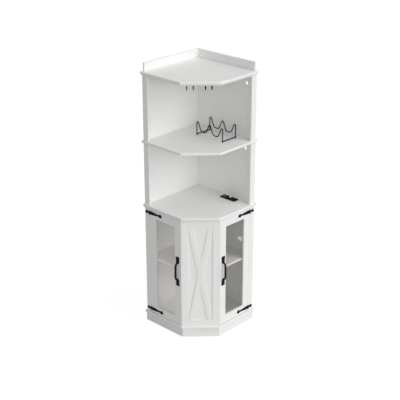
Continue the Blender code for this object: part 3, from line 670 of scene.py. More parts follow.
@dataclass(frozen=True)
class ScrewHead:
    """A domed screw head with a cross recess, on the plane at height 0.

    At radius r and angle a the height is h sqrt(1 - dome (r/R)^2), less a cross of depth times h
    that lies where |sin a| or |cos a| times r/R is below arm, and fades out towards r/R = recess.
    """

    radius: float
    height: float
    dome: float = 0.8
    arm: float = 0.13
    recess: float = 0.62
    fade: float = 0.1
    depth: float = 0.55
    middle: float = 0.03

    def shell(self, rings: int = 8, sides: int = 48) -> Shell:
        """Works the head out.

        Args:
            rings: rows from the middle to the rim.
            sides: columns round the head.

        Returns:
            The shell, with a short skirt below the rim.
        """
        share = np.linspace(self.middle, 1, rings)[:, None]
        angle = around(sides)[None, :]
        across = np.minimum(np.abs(np.sin(angle)), np.abs(np.cos(angle))) * share
        arms = np.clip(1 - across / self.arm, 0, 1)
        arms = arms * np.clip((self.recess - share) / self.fade, 0, 1)
        rise = self.height * (np.sqrt(1 - self.dome * share ** 2) - self.depth * arms)
        x, y = self.radius * share * np.cos(angle), self.radius * share * np.sin(angle)
        skirt = np.stack([x[-1], y[-1], np.zeros(sides)], axis=-1)[None]
        return grid_shell(np.concatenate([np.stack([x, y, rise], axis=-1), skirt]))


def ribbon(marks: Array, thick: float, ease: float) -> Shell:
    """A flat forged strip whose half height varies along it, with its edges rounded over.

    Its outline is the half heights above the centre line, and the same below, mirrored.

    Args:
        marks: rows of place along the strip and half height there.
        thick: thickness of the strip.
        ease: rounding of its edges.

    Returns:
        The shell, with the thickness in the third column.
    """
    return eased_prism(np.concatenate([marks, marks[::-1] * [1, -1]]), 0.0, thick, ease)


# Finishes


def linear(value: str) -> tuple[float, float, float, float]:
    """Turns an sRGB hex value such as #EDECE8 into a linear colour with full alpha.

    A level c up to 0.04045 becomes c / 12.92, and a higher one ((c + 0.055) / 1.055)^2.4.

    Args:
        value: the hex value.

    Returns:
        Red, green, blue and alpha.
    """
    levels = np.array([int(value[i:i + 2], 16) for i in (1, 3, 5)]) / 255
    low = levels / 12.92
    high = ((levels + 0.055) / 1.055) ** 2.4
    return (*(float(v) for v in np.where(levels <= 0.04045, low, high)), 1.0)


def add_node(tree: Tree, kind: str, settings: dict[str, object] | None = None,
             inputs: dict[str | int, object] | None = None) -> bpy.types.Node:
    """Adds a node to a tree.

    Args:
        tree: the material's or world's node tree.
        kind: the node's type.
        settings: attributes to set on it.
        inputs: a value for each socket, or the output socket that feeds it.

    Returns:
        The node.
    """
    made = tree.nodes.new(kind)
    for name, value in (settings or {}).items():
        setattr(made, name, value)
    for name, value in (inputs or {}).items():
        if isinstance(value, bpy.types.NodeSocket):
            tree.links.new(value, made.inputs[name])
        else:
            made.inputs[name].default_value = value
    return made


def new_material(name: str) -> tuple[bpy.types.Material, Tree]:
    """Starts a material without nodes.

    Args:
        name: its name.

    Returns:
        The material and its node tree.
    """
    material = bpy.data.materials.new(name)
    material.use_nodes = True
    material.node_tree.nodes.clear()
    return material, material.node_tree


def grain(tree: Tree, size_mm: float, detail: float = 2.0) -> Socket:
    """Noise on the object's own coordinates, from 0 to 1.

    Args:
        tree: the material's node tree.
        size_mm: how large its blotches are.
        detail: how many finer layers it has.

    Returns:
        The socket with the noise.
    """
    place = add_node(tree, "ShaderNodeTexCoord")
    noise = add_node(tree, "ShaderNodeTexNoise", {"noise_dimensions": "3D"},
                     {"Vector": place.outputs["Object"], "Scale": 1 / (size_mm * MM),
                      "Detail": detail, "Roughness": 0.5})
    return noise.outputs["Fac"]


def grained_surface(tree: Tree, colours: tuple[str, str], roughness: float,
                    swing: tuple[float, float], noises: tuple[Socket, Socket],
                    inputs: dict[str, object]) -> Socket:
    """A surface whose colour drifts with one noise and whose roughness swings with another.

    Args:
        tree: the material's node tree.
        colours: hex values at the two ends of the first noise.
        roughness: roughness without the swing.
        swing: what is added to it at the two ends of the second noise's middle part.
        noises: the noise for the colour and the one for the roughness.
        inputs: what else the surface has, by the names of its sockets.

    Returns:
        The socket with the shader.
    """
    colour = add_node(tree, "ShaderNodeMix", {"data_type": "RGBA"},
                      {MIX_SHARE: noises[0], MIX_FIRST: linear(colours[0]),
                       MIX_SECOND: linear(colours[1])})
    rough = add_node(tree, "ShaderNodeMapRange", None,
                     {"Value": noises[1], "From Min": NOISE_MIDDLE[0],
                      "From Max": NOISE_MIDDLE[1], "To Min": roughness + swing[0],
                      "To Max": roughness + swing[1]})
    surface = add_node(tree, "ShaderNodeBsdfPrincipled", None,
                       {"Base Color": colour.outputs[MIX_RESULT], "Roughness": rough.outputs[0],
                        **inputs})
    return surface.outputs[0]


@dataclass(frozen=True)
class Coat:
    """What all finishes share: a material built on the shader that each of them gives."""

    def shader(self, tree: Tree) -> Socket:
        """The finish's shader, which each finish has to give."""
        raise NotImplementedError

    def make(self, name: str) -> bpy.types.Material:
        """Builds the material.

        Args:
            name: the material's name.

        Returns:
            The material.
        """
        material, tree = new_material(name)
        add_node(tree, "ShaderNodeOutputMaterial", None, {"Surface": self.shader(tree)})
        return material


@dataclass(frozen=True)
class SprayedLacquer(Coat):
    """Satin lacquer sprayed on MDF board: a clean white with soft broad highlights.

    The spray leaves a fine orange peel, and the board's tone drifts slightly from place to place.
    """

    colour: str = "#F6F6F5"
    drift: str = "#F3F3F1"
    drift_mm: float = 260.0
    roughness: float = 0.42
    swing: tuple[float, float] = (-0.03, 0.03)
    peel_mm: float = 1.8
    peel_depth_mm: float = 0.012
    peel_strength: float = 0.5
    refraction: float = 1.48

    def shader(self, tree: Tree) -> Socket:
        """One glossy surface whose peel drives both its relief and its gloss.

        Args:
            tree: the material's node tree.

        Returns:
            The socket with the shader.
        """
        peel = grain(tree, self.peel_mm, 1.0)
        bump = add_node(tree, "ShaderNodeBump", None,
                        {"Strength": self.peel_strength, "Distance": self.peel_depth_mm * MM,
                         "Height": peel})
        return grained_surface(tree, (self.colour, self.drift), self.roughness, self.swing,
                               (grain(tree, self.drift_mm), peel),
                               {"IOR": self.refraction, "Normal": bump.outputs[0]})


@dataclass(frozen=True)
class PowderCoatedIron(Coat):
    """Black polyester powder baked on forged iron: nearly black, softly glossy, slightly pebbled.

    Rubbed arrises and the powder's own grain lift it to dark grey in spots.
    """

    colour: str = "#1A1A1B"
    worn: str = "#252527"
    blotch_mm: float = 9.0
    roughness: float = 0.58
    swing: tuple[float, float] = (-0.06, 0.08)
    gloss_level: float = 0.05
    pebble_mm: float = 0.9
    pebble_depth_mm: float = 0.05
    pebble_strength: float = 0.6
    refraction: float = 1.5

    def shader(self, tree: Tree) -> Socket:
        """A dark surface: blotches drive its colour and gloss, and pebbles its relief.

        Args:
            tree: the material's node tree.

        Returns:
            The socket with the shader.
        """
        blotch = grain(tree, self.blotch_mm, 3.0)
        bump = add_node(tree, "ShaderNodeBump", None,
                        {"Strength": self.pebble_strength, "Distance": self.pebble_depth_mm * MM,
                         "Height": grain(tree, self.pebble_mm, 1.0)})
        return grained_surface(tree, (self.colour, self.worn), self.roughness, self.swing,
                               (blotch, blotch),
                               {"IOR": self.refraction, "Specular IOR Level": self.gloss_level,
                                "Normal": bump.outputs[0]})


@dataclass(frozen=True)
class FloatGlass(Coat):
    """Clear float glass: sharp reflections and a faint warm grey where it is looked through.

    Light passes it on its way to the cupboard, so for shadow rays and for light that a matt
    surface sends on it is only a tint.
    """

    colour: str = "#FCFAF8"
    tint: str = "#FBFAF8"
    refraction: float = 1.5
    ripple_mm: float = 120.0
    ripple_depth_mm: float = 0.02
    ripple_strength: float = 0.2

    def shader(self, tree: Tree) -> Socket:
        """Glass for rays that see it, and a plain tint for those that light the cupboard.

        Args:
            tree: the material's node tree.

        Returns:
            The socket with the shader.
        """
        bump = add_node(tree, "ShaderNodeBump", None,
                        {"Strength": self.ripple_strength, "Distance": self.ripple_depth_mm * MM,
                         "Height": grain(tree, self.ripple_mm, 0.0)})
        pane = add_node(tree, "ShaderNodeBsdfPrincipled", None,
                        {"Base Color": linear(self.colour), "Roughness": 0.0,
                         "IOR": self.refraction, "Transmission Weight": 1.0,
                         "Normal": bump.outputs[0]})
        clear = add_node(tree, "ShaderNodeBsdfTransparent", None, {"Color": linear(self.tint)})
        path = add_node(tree, "ShaderNodeLightPath")
        passing = add_node(tree, "ShaderNodeMath", {"operation": "MAXIMUM"},
                           {0: path.outputs["Is Shadow Ray"], 1: path.outputs["Is Diffuse Ray"]})
        both = add_node(tree, "ShaderNodeMixShader", None,
                        {0: passing.outputs[0], 1: pane.outputs[0], 2: clear.outputs[0]})
        return both.outputs[0]


@dataclass(frozen=True)
class ZincPlate(Coat):
    """Bright zinc plating on pressed steel: cool silver, soft reflections and faint clouds."""

    colour: str = "#C4C7CA"
    cloud: str = "#B4B8BC"
    cloud_mm: float = 3.5
    roughness: float = 0.32
    swing: tuple[float, float] = (-0.06, 0.08)

    def shader(self, tree: Tree) -> Socket:
        """Bare metal whose clouds drive both its colour and its gloss.

        Args:
            tree: the material's node tree.

        Returns:
            The socket with the shader.
        """
        cloud = grain(tree, self.cloud_mm, 3.0)
        return grained_surface(tree, (self.colour, self.cloud), self.roughness, self.swing,
                               (cloud, cloud), {"Metallic": 1.0})


@dataclass(frozen=True)
class MouldedPlastic(Coat):
    """Injection moulded ABS with a spark-eroded texture: an even tone under a fine matt grain.

    The real grain is finer still and is drawn this coarse so that it shows.
    """

    colour: str = "#0E0E0F"
    lift: str = "#161617"
    roughness: float = 0.55
    gloss_level: float = 0.06
    swing: tuple[float, float] = (-0.05, 0.07)
    grain_mm: float = 0.8
    depth_mm: float = 0.03
    strength: float = 0.5
    refraction: float = 1.53

    def shader(self, tree: Tree) -> Socket:
        """A plain surface whose fine grain drives its colour, its gloss and its relief.

        Args:
            tree: the material's node tree.

        Returns:
            The socket with the shader.
        """
        spark = grain(tree, self.grain_mm)
        bump = add_node(tree, "ShaderNodeBump", None,
                        {"Strength": self.strength, "Distance": self.depth_mm * MM,
                         "Height": spark})
        return grained_surface(tree, (self.colour, self.lift), self.roughness, self.swing,
                               (spark, spark),
                               {"IOR": self.refraction, "Specular IOR Level": self.gloss_level,
                                "Normal": bump.outputs[0]})


class Finish(Enum):
    """The finishes of the cabinet: the record's slot and how each one is made."""

    SPRAYED_LACQUER = ("white_paint", SprayedLacquer())
    POWDER_COATED_IRON = ("black_iron", PowderCoatedIron())
    FLOAT_GLASS = ("clear_glass", FloatGlass())
    ZINC_PLATE = ("zinc_plated_steel", ZincPlate())
    BLACK_ABS = ("black_plastic", MouldedPlastic())
    BROWN_ABS = ("brown_plastic", MouldedPlastic("#3A2C22", "#45352A", 0.5, 0.4))
    # Near-black plates for the sockets' slots and the ports' openings: painted shade where the
    # real ones are holes
    SLOT_SHADE_BLACK = ("black_plastic", MouldedPlastic("#050506", "#080809", 0.6, 0.1))
    SOCKET_GREY = ("black_plastic", MouldedPlastic("#3E3E40", "#48484A", 0.5, 0.3))
    PALE_ABS = ("black_plastic", MouldedPlastic("#F2F2F0", "#F8F8F6", 0.35, 0.5))

    @cache
    def material(self) -> bpy.types.Material:
        """The finish's material, made the first time it is asked for."""
        return self.value[1].make(self.name.lower())


def dress(obj: bpy.types.Object, finish: Finish) -> None:
    """Gives every material slot of an object one finish.

    Args:
        obj: the object, with or without slots.
        finish: the finish.
    """
    for slot in obj.material_slots:
        slot.material = finish.material()
    if not obj.material_slots:
        obj.data.materials.append(finish.material())


def make_piece(name: str, shell: Shell | Sequence[Shell], body: str, finish: Finish,
               nodes: Iterable[str] = (), sharp: float = BOARD_SHARP) -> None:
    """Makes a piece from shells, closes its seams, turns its faces outwards and dresses it.

    Args:
        name: the piece's name.
        shell: one shell, or several that make one piece.
        body: the body that the piece rides on.
        finish: its finish.
        nodes: the CAD nodes that it stands for.
        sharp: edges that bend more than this many degrees stay sharp.
    """
    whole = shell if isinstance(shell, Shell) else join_shells(shell)
    mesh = bpy.data.meshes.new(name)
    mesh.from_pydata(whole.points.tolist(), [],
                     whole.quads.tolist() + [cap.tolist() for cap in whole.caps])
    bm = bmesh.new()
    bm.from_mesh(mesh)
    bmesh.ops.remove_doubles(bm, verts=bm.verts, dist=MERGE_DISTANCE)
    bmesh.ops.dissolve_degenerate(bm, edges=bm.edges, dist=SHORTEST_EDGE)
    bmesh.ops.recalc_face_normals(bm, faces=bm.faces)
    bm.to_mesh(mesh)
    bm.free()
    mesh.shade_smooth()
    mesh.set_sharp_from_angle(angle=math.radians(sharp))
    obj = bpy.data.objects.new(name, mesh)
    bpy.context.scene.collection.objects.link(obj)
    even = obj.modifiers.new("large_faces_stay_flat", "WEIGHTED_NORMAL")
    even.keep_sharp = True
    dress(obj, finish)
    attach(obj, body)
    if nodes:
        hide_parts(*nodes)
    LOG.info("%s: %d faces, rides on %s", name, len(mesh.polygons), body)


def lacquered(name: str, shell: Shell, node: str, body: str = "cabinet") -> None:
    """Makes a lacquered board that stands for one CAD node."""
    make_piece(name, shell, body, Finish.SPRAYED_LACQUER, [node])


def ironwork(name: str, shells: Sequence[Shell], node: str, body: str = "cabinet") -> None:
    """Makes a piece of black ironwork that stands for one CAD node."""
    make_piece(name, shells, body, Finish.POWDER_COATED_IRON, [node], IRON_SHARP)


# Sub-assemblies


@dataclass
class Carcass:
    """The load-bearing plates, the walls and posts between them, and the gallery on top."""

    plan: Plan = PLAN
    plate_ease: float = 3.0 * MM
    plate_steps: int = 5
    board_ease: float = 1.0 * MM
    cut_ease: float = 0.5 * MM
    shelf_thick: float = 0.015
    shelf_top: float = 0.4895
    shelf_play: float = 1.0 * MM
    shelf_door_gap: float = 3.6 * MM
    upright_width: float = 0.0175
    upright_depth: float = 0.0246
    gallery_thick: float = 0.012
    gallery_end_inset: float = 0.0185
    hole_radius: float = 0.0125
    hole_ease: float = 0.8 * MM
    hole_sides: int = 48
    hole_from_post: float = 0.0586
    middle_hole_drop: float = 0.0575
    upper_hole_drop: float = 0.076
    outlet_hole: tuple[float, float, float, float] = (0.2825, 0.3965, 0.0445, 0.0815)
    outlet_hole_radius: float = 1.5 * MM
    outlet_hole_ease: float = 0.3 * MM

    @property
    def plate_line(self) -> Array:
        """The plates' outline, its corners rounded a little more than its edges."""
        return rounded_outline(self.plan.outline(0, 0, 0), ARC_PER_EASE * self.plate_ease)

    def seated(self, low: float, high: float) -> tuple[float, float]:
        """The span between two levels, less the seat gap at both."""
        return low + self.plan.seat_gap, high - self.plan.seat_gap

    def plate(self, node: str, low: float) -> None:
        """One five-sided plate with a rounded edge.

        Args:
            node: the CAD node.
            low: height of its underside.
        """
        shell = eased_prism(self.plate_line, low, low + self.plan.plate_thick, self.plate_ease,
                            self.plate_steps)
        lacquered(node + "_board", shell.moved(plan_place), node)

    def counter(self) -> None:
        """The counter, with the rectangular cut-out that the power outlet hangs in."""
        hole = rounded_outline(rectangle(*self.outlet_hole), self.outlet_hole_radius)
        shell = holed_prism(self.plate_line, hole, self.plan.counter_z, self.plan.counter_top,
                            self.plate_ease, self.outlet_hole_ease, self.plate_steps)
        lacquered("counter_board", shell.moved(plan_place), "counter_top")

    def shelf(self) -> None:
        """The loose shelf in the cupboard, notched round the two uprights."""
        plan, play = self.plan, self.shelf_play
        door_back = plan.front - plan.door_thick
        near = plan.overhang + plan.wall_thick + play
        far = door_back - self.shelf_door_gap
        side = plan.panel_corner - self.upright_width - play
        inside = door_back - self.upright_depth - 2 * play
        last = ROOT_TWO * (plan.centre_front - plan.panel_thick - play)
        outline = np.array([[near, near], [near, far], [side, far], [side, inside],
                            [last - inside, inside], [inside, last - inside], [inside, side],
                            [far, side], [far, near]])
        shell = eased_prism(rounded_outline(outline, ARC_PER_EASE * self.board_ease, 3),
                            self.shelf_top - self.shelf_thick, self.shelf_top, self.board_ease)
        lacquered("interior_shelf_board", shell.moved(plan_place), "interior_shelf")

    def posts(self, tier: str, low: float, high: float) -> None:
        """The two front posts of a tier.

        Args:
            tier: the tier's name.
            low: upper face of the plate below.
            high: underside of what is above.
        """
        plan = self.plan
        for side in Side:
            shell = board(side.value, (plan.overhang, plan.overhang + plan.post_width),
                          (plan.post_back, plan.front), self.seated(low, high), self.board_ease)
            lacquered(f"{tier}_{side.word}_post_board", shell, f"{tier}_{side.word}_post")

    def walls(self, tier: str, low: float, high: float, drop: float) -> None:
        """The two wall panels of an open tier, the right one with a round cable hole.

        The hole's edge is (middle + r cos a, middle + r sin a), for its radius r.

        Args:
            tier: the tier's name.
            low: upper face of the plate below.
            high: underside of the plate above.
            drop: how far below that underside the hole's middle is.
        """
        plan, zs = self.plan, self.seated(low, high)
        face, end = plan.overhang + plan.wall_thick, plan.post_back - plan.seat_gap
        left = board(Face.LEFT, (plan.overhang, face), (plan.overhang, end), zs, self.cut_ease)
        lacquered(f"{tier}_left_wall_panel", left, f"{tier}_left_wall")
        angle = around(self.hole_sides)
        hole = np.stack([plan.post_back - self.hole_from_post + self.hole_radius * np.cos(angle),
                         high - drop + self.hole_radius * np.sin(angle)], axis=1)
        outline = rounded_outline(rectangle(face + plan.seat_gap, end, *zs), self.cut_ease, 2)
        right = holed_prism(outline, hole, plan.overhang, face, self.cut_ease, self.hole_ease)
        lacquered(f"{tier}_right_wall_panel", right.moved(plan_place_upright),
                  f"{tier}_right_wall")

    def gallery(self) -> None:
        """The two strips round the back of the top panel, the left one butted to the right."""
        plan = self.plan
        zs = (plan.roof_top + plan.seat_gap, plan.roof_top + plan.gallery_height)
        face = plan.overhang + self.gallery_thick
        end = plan.wall_run - self.gallery_end_inset
        for side, along, out in (("left", (plan.overhang, face), (face + plan.seat_gap, end)),
                                 ("right", (plan.overhang, end), (plan.overhang, face))):
            lacquered(f"gallery_{side}_rail", board(Face.LEFT, along, out, zs, self.board_ease),
                      f"gallery_{side}_strip")

    def build(self) -> None:
        """Makes every board of the carcass."""
        plan = self.plan
        for node, low in (("base_panel", plan.plinth_height), ("middle_shelf", plan.middle_z),
                          ("top_panel", plan.roof_z)):
            self.plate(node, low)
        self.counter()
        self.shelf()
        self.posts("lower", plan.base_top, plan.counter_z - plan.counter_mould)
        self.posts("middle", plan.counter_top, plan.middle_z)
        self.posts("upper", plan.middle_top, plan.roof_z - plan.top_mould)
        self.walls("middle", plan.counter_top, plan.middle_z, self.middle_hole_drop)
        self.walls("upper", plan.middle_top, plan.roof_z, self.upper_hole_drop)
        self.gallery()


@dataclass
class Trim:
    """The cove mouldings under the counter and the top, and the mitred plinth."""

    plan: Plan = PLAN
    inset: float = 1.5 * MM
    centre_width: float = 0.0165
    counter_cove: float = 7.5 * MM
    top_cove: float = 6.0 * MM
    cove_steps: int = 8
    soft: float = 0.5 * MM
    fillet_share: float = 0.4
    toe_share: float = 0.5
    plinth_inset: float = 0.012
    plinth_back: float = 1.5 * MM
    plinth_thick: float = 0.016
    plinth_ease: float = 0.8 * MM

    def moulding(self, node: str, top: float, height: float, cove: float) -> None:
        """A cove strip carried round the three front edges.

        Its outer face drops from the top, turns over a small fillet and hollows inwards as a
        quarter circle, inset + r sin a at height foot + r cos a. The corners are mitred, since
        each profile point follows its own inset copy of the plate's outline.

        Args:
            node: the CAD node.
            top: upper face of the strip.
            height: its height.
            cove: radius r of the hollow.
        """
        plan, foot, soft = self.plan, top - height, self.soft
        angle = np.linspace(0, QUARTER_TURN, self.cove_steps + 1)
        hollow = np.stack([cove * np.sin(angle), foot + cove * np.cos(angle)], axis=1)
        arris = soft * SOFT_MIDDLE
        rows = np.concatenate([[[soft, top], [arris, top - arris], [0.0, top - soft]],
                               hollow[:1] + [0, soft], hollow[:1] + [soft * self.fillet_share, 0],
                               hollow[1:-1], hollow[-1:] + [0, soft * self.toe_share],
                               hollow[-1:] + [soft, 0]])
        insets = [(self.inset + inset, self.inset + inset, z) for inset, z in rows]
        back = (plan.wall_run - plan.post_back, self.inset + self.centre_width)
        insets += [(*back, foot), (*back, top)]
        lines = [np.insert(plan.outline(plan.overhang, front, centre)[1:], 2, z, axis=1)
                 for front, centre, z in insets]
        shell = grid_shell(np.stack(lines, axis=1))
        lacquered(node + "_cove", shell.moved(plan_place), node)

    def plinth(self) -> None:
        """Five upright boards, each mitred to the next."""
        plan, thick = self.plan, self.plinth_thick
        outer = plan.outline(self.plinth_back, self.plinth_inset, self.plinth_inset)
        inner = plan.outline(self.plinth_back + thick, self.plinth_inset + thick,
                             self.plinth_inset + thick)
        names = ("left_back", "left_front", "centre", "right_front", "right_back")
        for index, name in enumerate(names):
            after = (index + 1) % len(names)
            step = outer[after] - outer[index]
            step *= plan.seat_gap / np.linalg.norm(step)
            line = np.array([outer[index] + step, outer[after] - step, inner[after] - step,
                             inner[index] + step])
            shell = eased_prism(line, 0.0, plan.plinth_height - plan.seat_gap, self.plinth_ease)
            lacquered(f"plinth_{name}", shell.moved(plan_place), f"plinth_{name}_board")

    def build(self) -> None:
        """Makes the mouldings and the plinth."""
        plan, gap = self.plan, self.plan.seat_gap
        self.moulding("counter_moulding", plan.counter_z - gap, plan.counter_mould - gap,
                      self.counter_cove)
        self.moulding("top_moulding", plan.roof_z - gap, plan.top_mould - gap, self.top_cove)
        self.plinth()


@dataclass
class CentrePanel:
    """The fixed panel between the doors: frame, let-in field and crossed strips."""

    plan: Plan = PLAN
    stile: float = 0.0458
    top_rail: float = 0.054
    bottom_rail: float = 0.0435
    recess: float = 5.0 * MM
    rebate: float = 8.0 * MM
    eases: tuple[float, float] = (1.0 * MM, 0.6 * MM)
    field_thick: float = 6.0 * MM
    field_ease: float = 0.4 * MM
    brace_width: float = 0.030
    brace_ease: float = 0.8 * MM
    foot: float = 0.0803
    head: float = 0.8312

    @property
    def window(self) -> tuple[float, float, float]:
        """Half the width of the frame's window, its foot and its head."""
        return (self.plan.panel_half - self.stile, self.foot + self.bottom_rail,
                self.head - self.top_rail)

    def frame(self) -> None:
        """The frame, as rectangles round its section, its ends slanted by 45 degrees."""
        front = self.plan.centre_front
        half, low, high = self.window

        def outer(inset: float, depth: float) -> Ring:
            """The outer rectangle at a depth, narrowed by the slant."""
            wide = self.plan.panel_half - (front - depth) - inset
            return (-wide, wide, self.foot + inset, self.head - inset, depth)

        def window(grow: float, depth: float) -> Ring:
            """The window's rectangle at a depth."""
            return (-half - grow, half + grow, low - grow, high + grow, depth)

        depths = (front - self.plan.panel_thick, front - self.recess, front)
        shell = joinery_frame(outer, window, depths, self.eases, self.rebate)
        lacquered("centre_panel_surround", shell.moved(Face.CENTRE.place), "centre_panel_frame")

    def board(self) -> None:
        """The thin field let into the back of the frame."""
        half, low, high = self.window
        hidden = self.rebate - self.plan.seat_gap
        front = self.plan.centre_front - self.recess - self.plan.seat_gap
        shell = board(Face.CENTRE, (-half - hidden, half + hidden),
                      (front - self.field_thick, front), (low - hidden, high + hidden),
                      self.field_ease)
        lacquered("centre_panel_backboard", shell, "centre_panel_field")

    def brace(self) -> None:
        """Two strips crossing from corner to corner of the window, halved into each other.

        With reach R, inner reach I = R - w, foot f and head h, the strips' edges cross on the
        centre line at f + (h-f) I/(R+I) and f + (h-f) R/(R+I), and at half height at +-w/2.
        """
        gap = self.plan.seat_gap
        half, low, high = self.window
        reach, foot, head = half - gap, low + gap, high - gap
        inside = reach - self.brace_width
        below = foot + (head - foot) * inside / (reach + inside)
        above = foot + (head - foot) * reach / (reach + inside)
        middle, side = (foot + head) / 2, self.brace_width / 2
        line = np.array([[-reach, foot], [-inside, foot], [0, below], [inside, foot],
                         [reach, foot], [side, middle], [reach, head], [inside, head],
                         [0, above], [-inside, head], [-reach, head], [-side, middle]])
        front = self.plan.centre_front
        shell = eased_prism(line, front - self.recess, front - gap, self.brace_ease)
        lacquered("centre_cross_strips", shell.moved(Face.CENTRE.place_sheet),
                  "centre_cross_brace")

    def build(self) -> None:
        """Makes the frame, the field and the strips."""
        self.frame()
        self.board()
        self.brace()


@dataclass
class GlazedDoor:
    """A door's lacquered frame; its pane, bead and strike plate keep the shapes of the CAD."""

    side: Side
    plan: Plan = PLAN
    start: float = 0.054
    foot: float = 0.0825
    head: float = 0.8305
    hinge_stile: float = 0.052
    free_stile: float = 0.056
    top_rail: float = 0.0535
    bottom_rail: float = 0.057
    glass_setback: float = 6.0 * MM
    rebate: float = 8.0 * MM
    ease: float = 1.0 * MM

    def build(self) -> None:
        """Makes stiles and rails in one, with a rebate behind the window for pane and bead."""
        front, end = self.plan.front, self.plan.door_end
        x0, x1 = self.start + self.hinge_stile, end - self.free_stile
        z0, z1 = self.foot + self.bottom_rail, self.head - self.top_rail

        def outer(inset: float, depth: float) -> Ring:
            """The door's outer rectangle, set in."""
            return (self.start + inset, end - inset, self.foot + inset, self.head - inset, depth)

        def window(grow: float, depth: float) -> Ring:
            """The window's rectangle, grown outwards."""
            return (x0 - grow, x1 + grow, z0 - grow, z1 + grow, depth)

        depths = (front - self.plan.door_thick, front - self.glass_setback, front)
        shell = joinery_frame(outer, window, depths, (self.ease, self.ease), self.rebate)
        lacquered(f"{self.side.word}_door_surround", shell.moved(self.side.value.place),
                  f"{self.side.word}_door_frame", f"{self.side.word}_door")


@dataclass
class StrapHinge:
    """A black surface hinge: a short leaf with a ball finial, three knuckles and a long strap."""

    side: Side
    level: str
    height: float
    plan: Plan = PLAN
    pivot_along: float = 0.05345
    barrel: float = 3.5 * MM
    barrel_sides: int = 28
    half: float = 12.5 * MM
    leaf_thick: float = 2.2 * MM
    clear: float = 3.8 * MM
    ease: float = 0.7 * MM
    soft: float = 0.5 * MM
    tab_lap: float = 1.0 * MM
    tab_ease: float = 0.2 * MM
    finial_at: float = 27.5 * MM
    finial_radius: float = 10.6 * MM
    finial_height: float = 8.0 * MM
    finial_steps: int = 10
    finial_sides: int = 40
    screw: ScrewHead = ScrewHead(2.7 * MM, 1.3 * MM)
    leaf_screws: tuple[tuple[float, float], ...] = ((-7.4 * MM, 7.2 * MM), (-7.4 * MM, -7.2 * MM))
    strap_screws: tuple[tuple[float, float], ...] = ((15.5 * MM, 0.0), (52.0 * MM, 0.0),
                                                     (96.5 * MM, 0.0))

    def place(self, points: Array) -> Array:
        """Puts rows of (along from the pivot, height, out from the door's face) in the frame."""
        seat = self.plan.front + self.plan.seat_gap
        return self.side.value.place_sheet(points + [self.pivot_along, self.height, seat])

    def leaf_line(self) -> Array:
        """Marks along the fixed leaf and its neck.

        Returns:
            Rows of distance from the barrel's axis and half height there.
        """
        return np.array([[4.0, 11.7], [5.0, 12.5], [7.4, 12.5], [8.8, 11.6], [9.8, 9.6],
                         [10.6, 7.6], [11.6, 6.6], [14.0, 5.9], [18.0, 5.6], [22.0, 5.8],
                         [27.0, 6.4]]) * MM

    def strap_line(self) -> Array:
        """Marks along the strap, out to the tip of its spear.

        Returns:
            Rows of distance from the barrel's axis and half height there.
        """
        return np.array([[4.0, 11.7], [5.0, 12.5], [8.6, 12.5], [10.0, 11.8], [11.0, 10.9],
                         [12.6, 10.9], [15.0, 11.6], [18.0, 11.6], [24.0, 11.2], [40.0, 9.7],
                         [60.0, 7.6], [76.0, 5.9], [81.0, 5.6], [83.5, 6.2], [86.0, 8.8],
                         [89.0, 11.2], [93.0, 12.4], [98.0, 12.4], [102.5, 10.6],
                         [106.2, 7.6], [109.2, 4.0], [111.0, 1.1]]) * MM

    def knuckle(self, low: float, high: float) -> Shell:
        """A rolled knuckle on the barrel's axis: a turned sleeve with softened ends.

        Args:
            low: its lower end.
            high: its upper end.

        Returns:
            The shell, with points as (along, height, out).
        """
        radius, soft, arris = self.barrel, self.soft, self.soft * SOFT_MIDDLE
        rows = np.array([[radius - soft, low], [radius - arris, low + arris],
                         [radius, low + soft], [radius, high - soft],
                         [radius - arris, high - arris], [radius - soft, high]])
        return turned(rows, self.barrel_sides).moved(lambda p: p[:, [0, 2, 1]] + [0, 0, radius])

    def tab(self, sign: int, low: float, high: float) -> Shell:
        """The short web that joins a knuckle to its plate.

        Args:
            sign: 1 on the strap's side of the barrel and -1 on the leaf's.
            low: its lower end.
            high: its upper end.

        Returns:
            The shell, with points as (along, height, out).
        """
        line = rectangle(0.0, sign * (self.clear + self.tab_lap), low, high)
        return eased_prism(line, 0.0, self.leaf_thick, self.tab_ease, 2)

    def half_hinge(self, name: str, node: str, body: str, sign: int, shells: list[Shell],
                   spans: Sequence[tuple[float, float]],
                   spots: Sequence[tuple[float, float]]) -> None:
        """Makes the leaf or the strap with its knuckles and webs, and the screws in it.

        Args:
            name: the piece's name.
            node: the CAD node that it stands for.
            body: the body that it rides on.
            sign: 1 on the strap's side of the barrel and -1 on the leaf's.
            shells: the plate, and the finial if it has one.
            spans: lower and upper ends of its knuckles.
            spots: places of its screws.
        """
        whole = shells + [self.knuckle(*span) for span in spans]
        whole += [self.tab(sign, *span) for span in spans]
        ironwork(name, [shell.moved(self.place) for shell in whole], node, body)
        head, level = self.screw.shell(), self.leaf_thick - SCREW_SUNK
        heads = [head.moved(lambda p, s=spot: self.place(p + [*s, level])) for spot in spots]
        make_piece(node + "_screws", heads, body, Finish.POWDER_COATED_IRON)

    def build(self) -> None:
        """Makes the leaf on the post and the strap on the door."""
        name = f"{self.side.word}_{self.level}_hinge"
        third, gap = self.half / 3, self.plan.seat_gap
        leaf = ribbon(self.leaf_line(), self.leaf_thick, self.ease).moved(lambda p: p * [-1, 1, 1])
        ball = turned(dome_profile(self.finial_radius, self.finial_height, self.finial_steps),
                      self.finial_sides)
        self.half_hinge(name + "_fixed_leaf", name + "_leaf", "cabinet", -1,
                        [leaf, ball.moved(lambda p: p - [self.finial_at, 0, 0])],
                        [(third + gap, self.half), (-self.half, -third - gap)], self.leaf_screws)
        self.half_hinge(name + "_long_strap", name + "_strap", f"{self.side.word}_door", 1,
                        [ribbon(self.strap_line(), self.leaf_thick, self.ease)],
                        [(-third + gap, third - gap)], self.strap_screws)


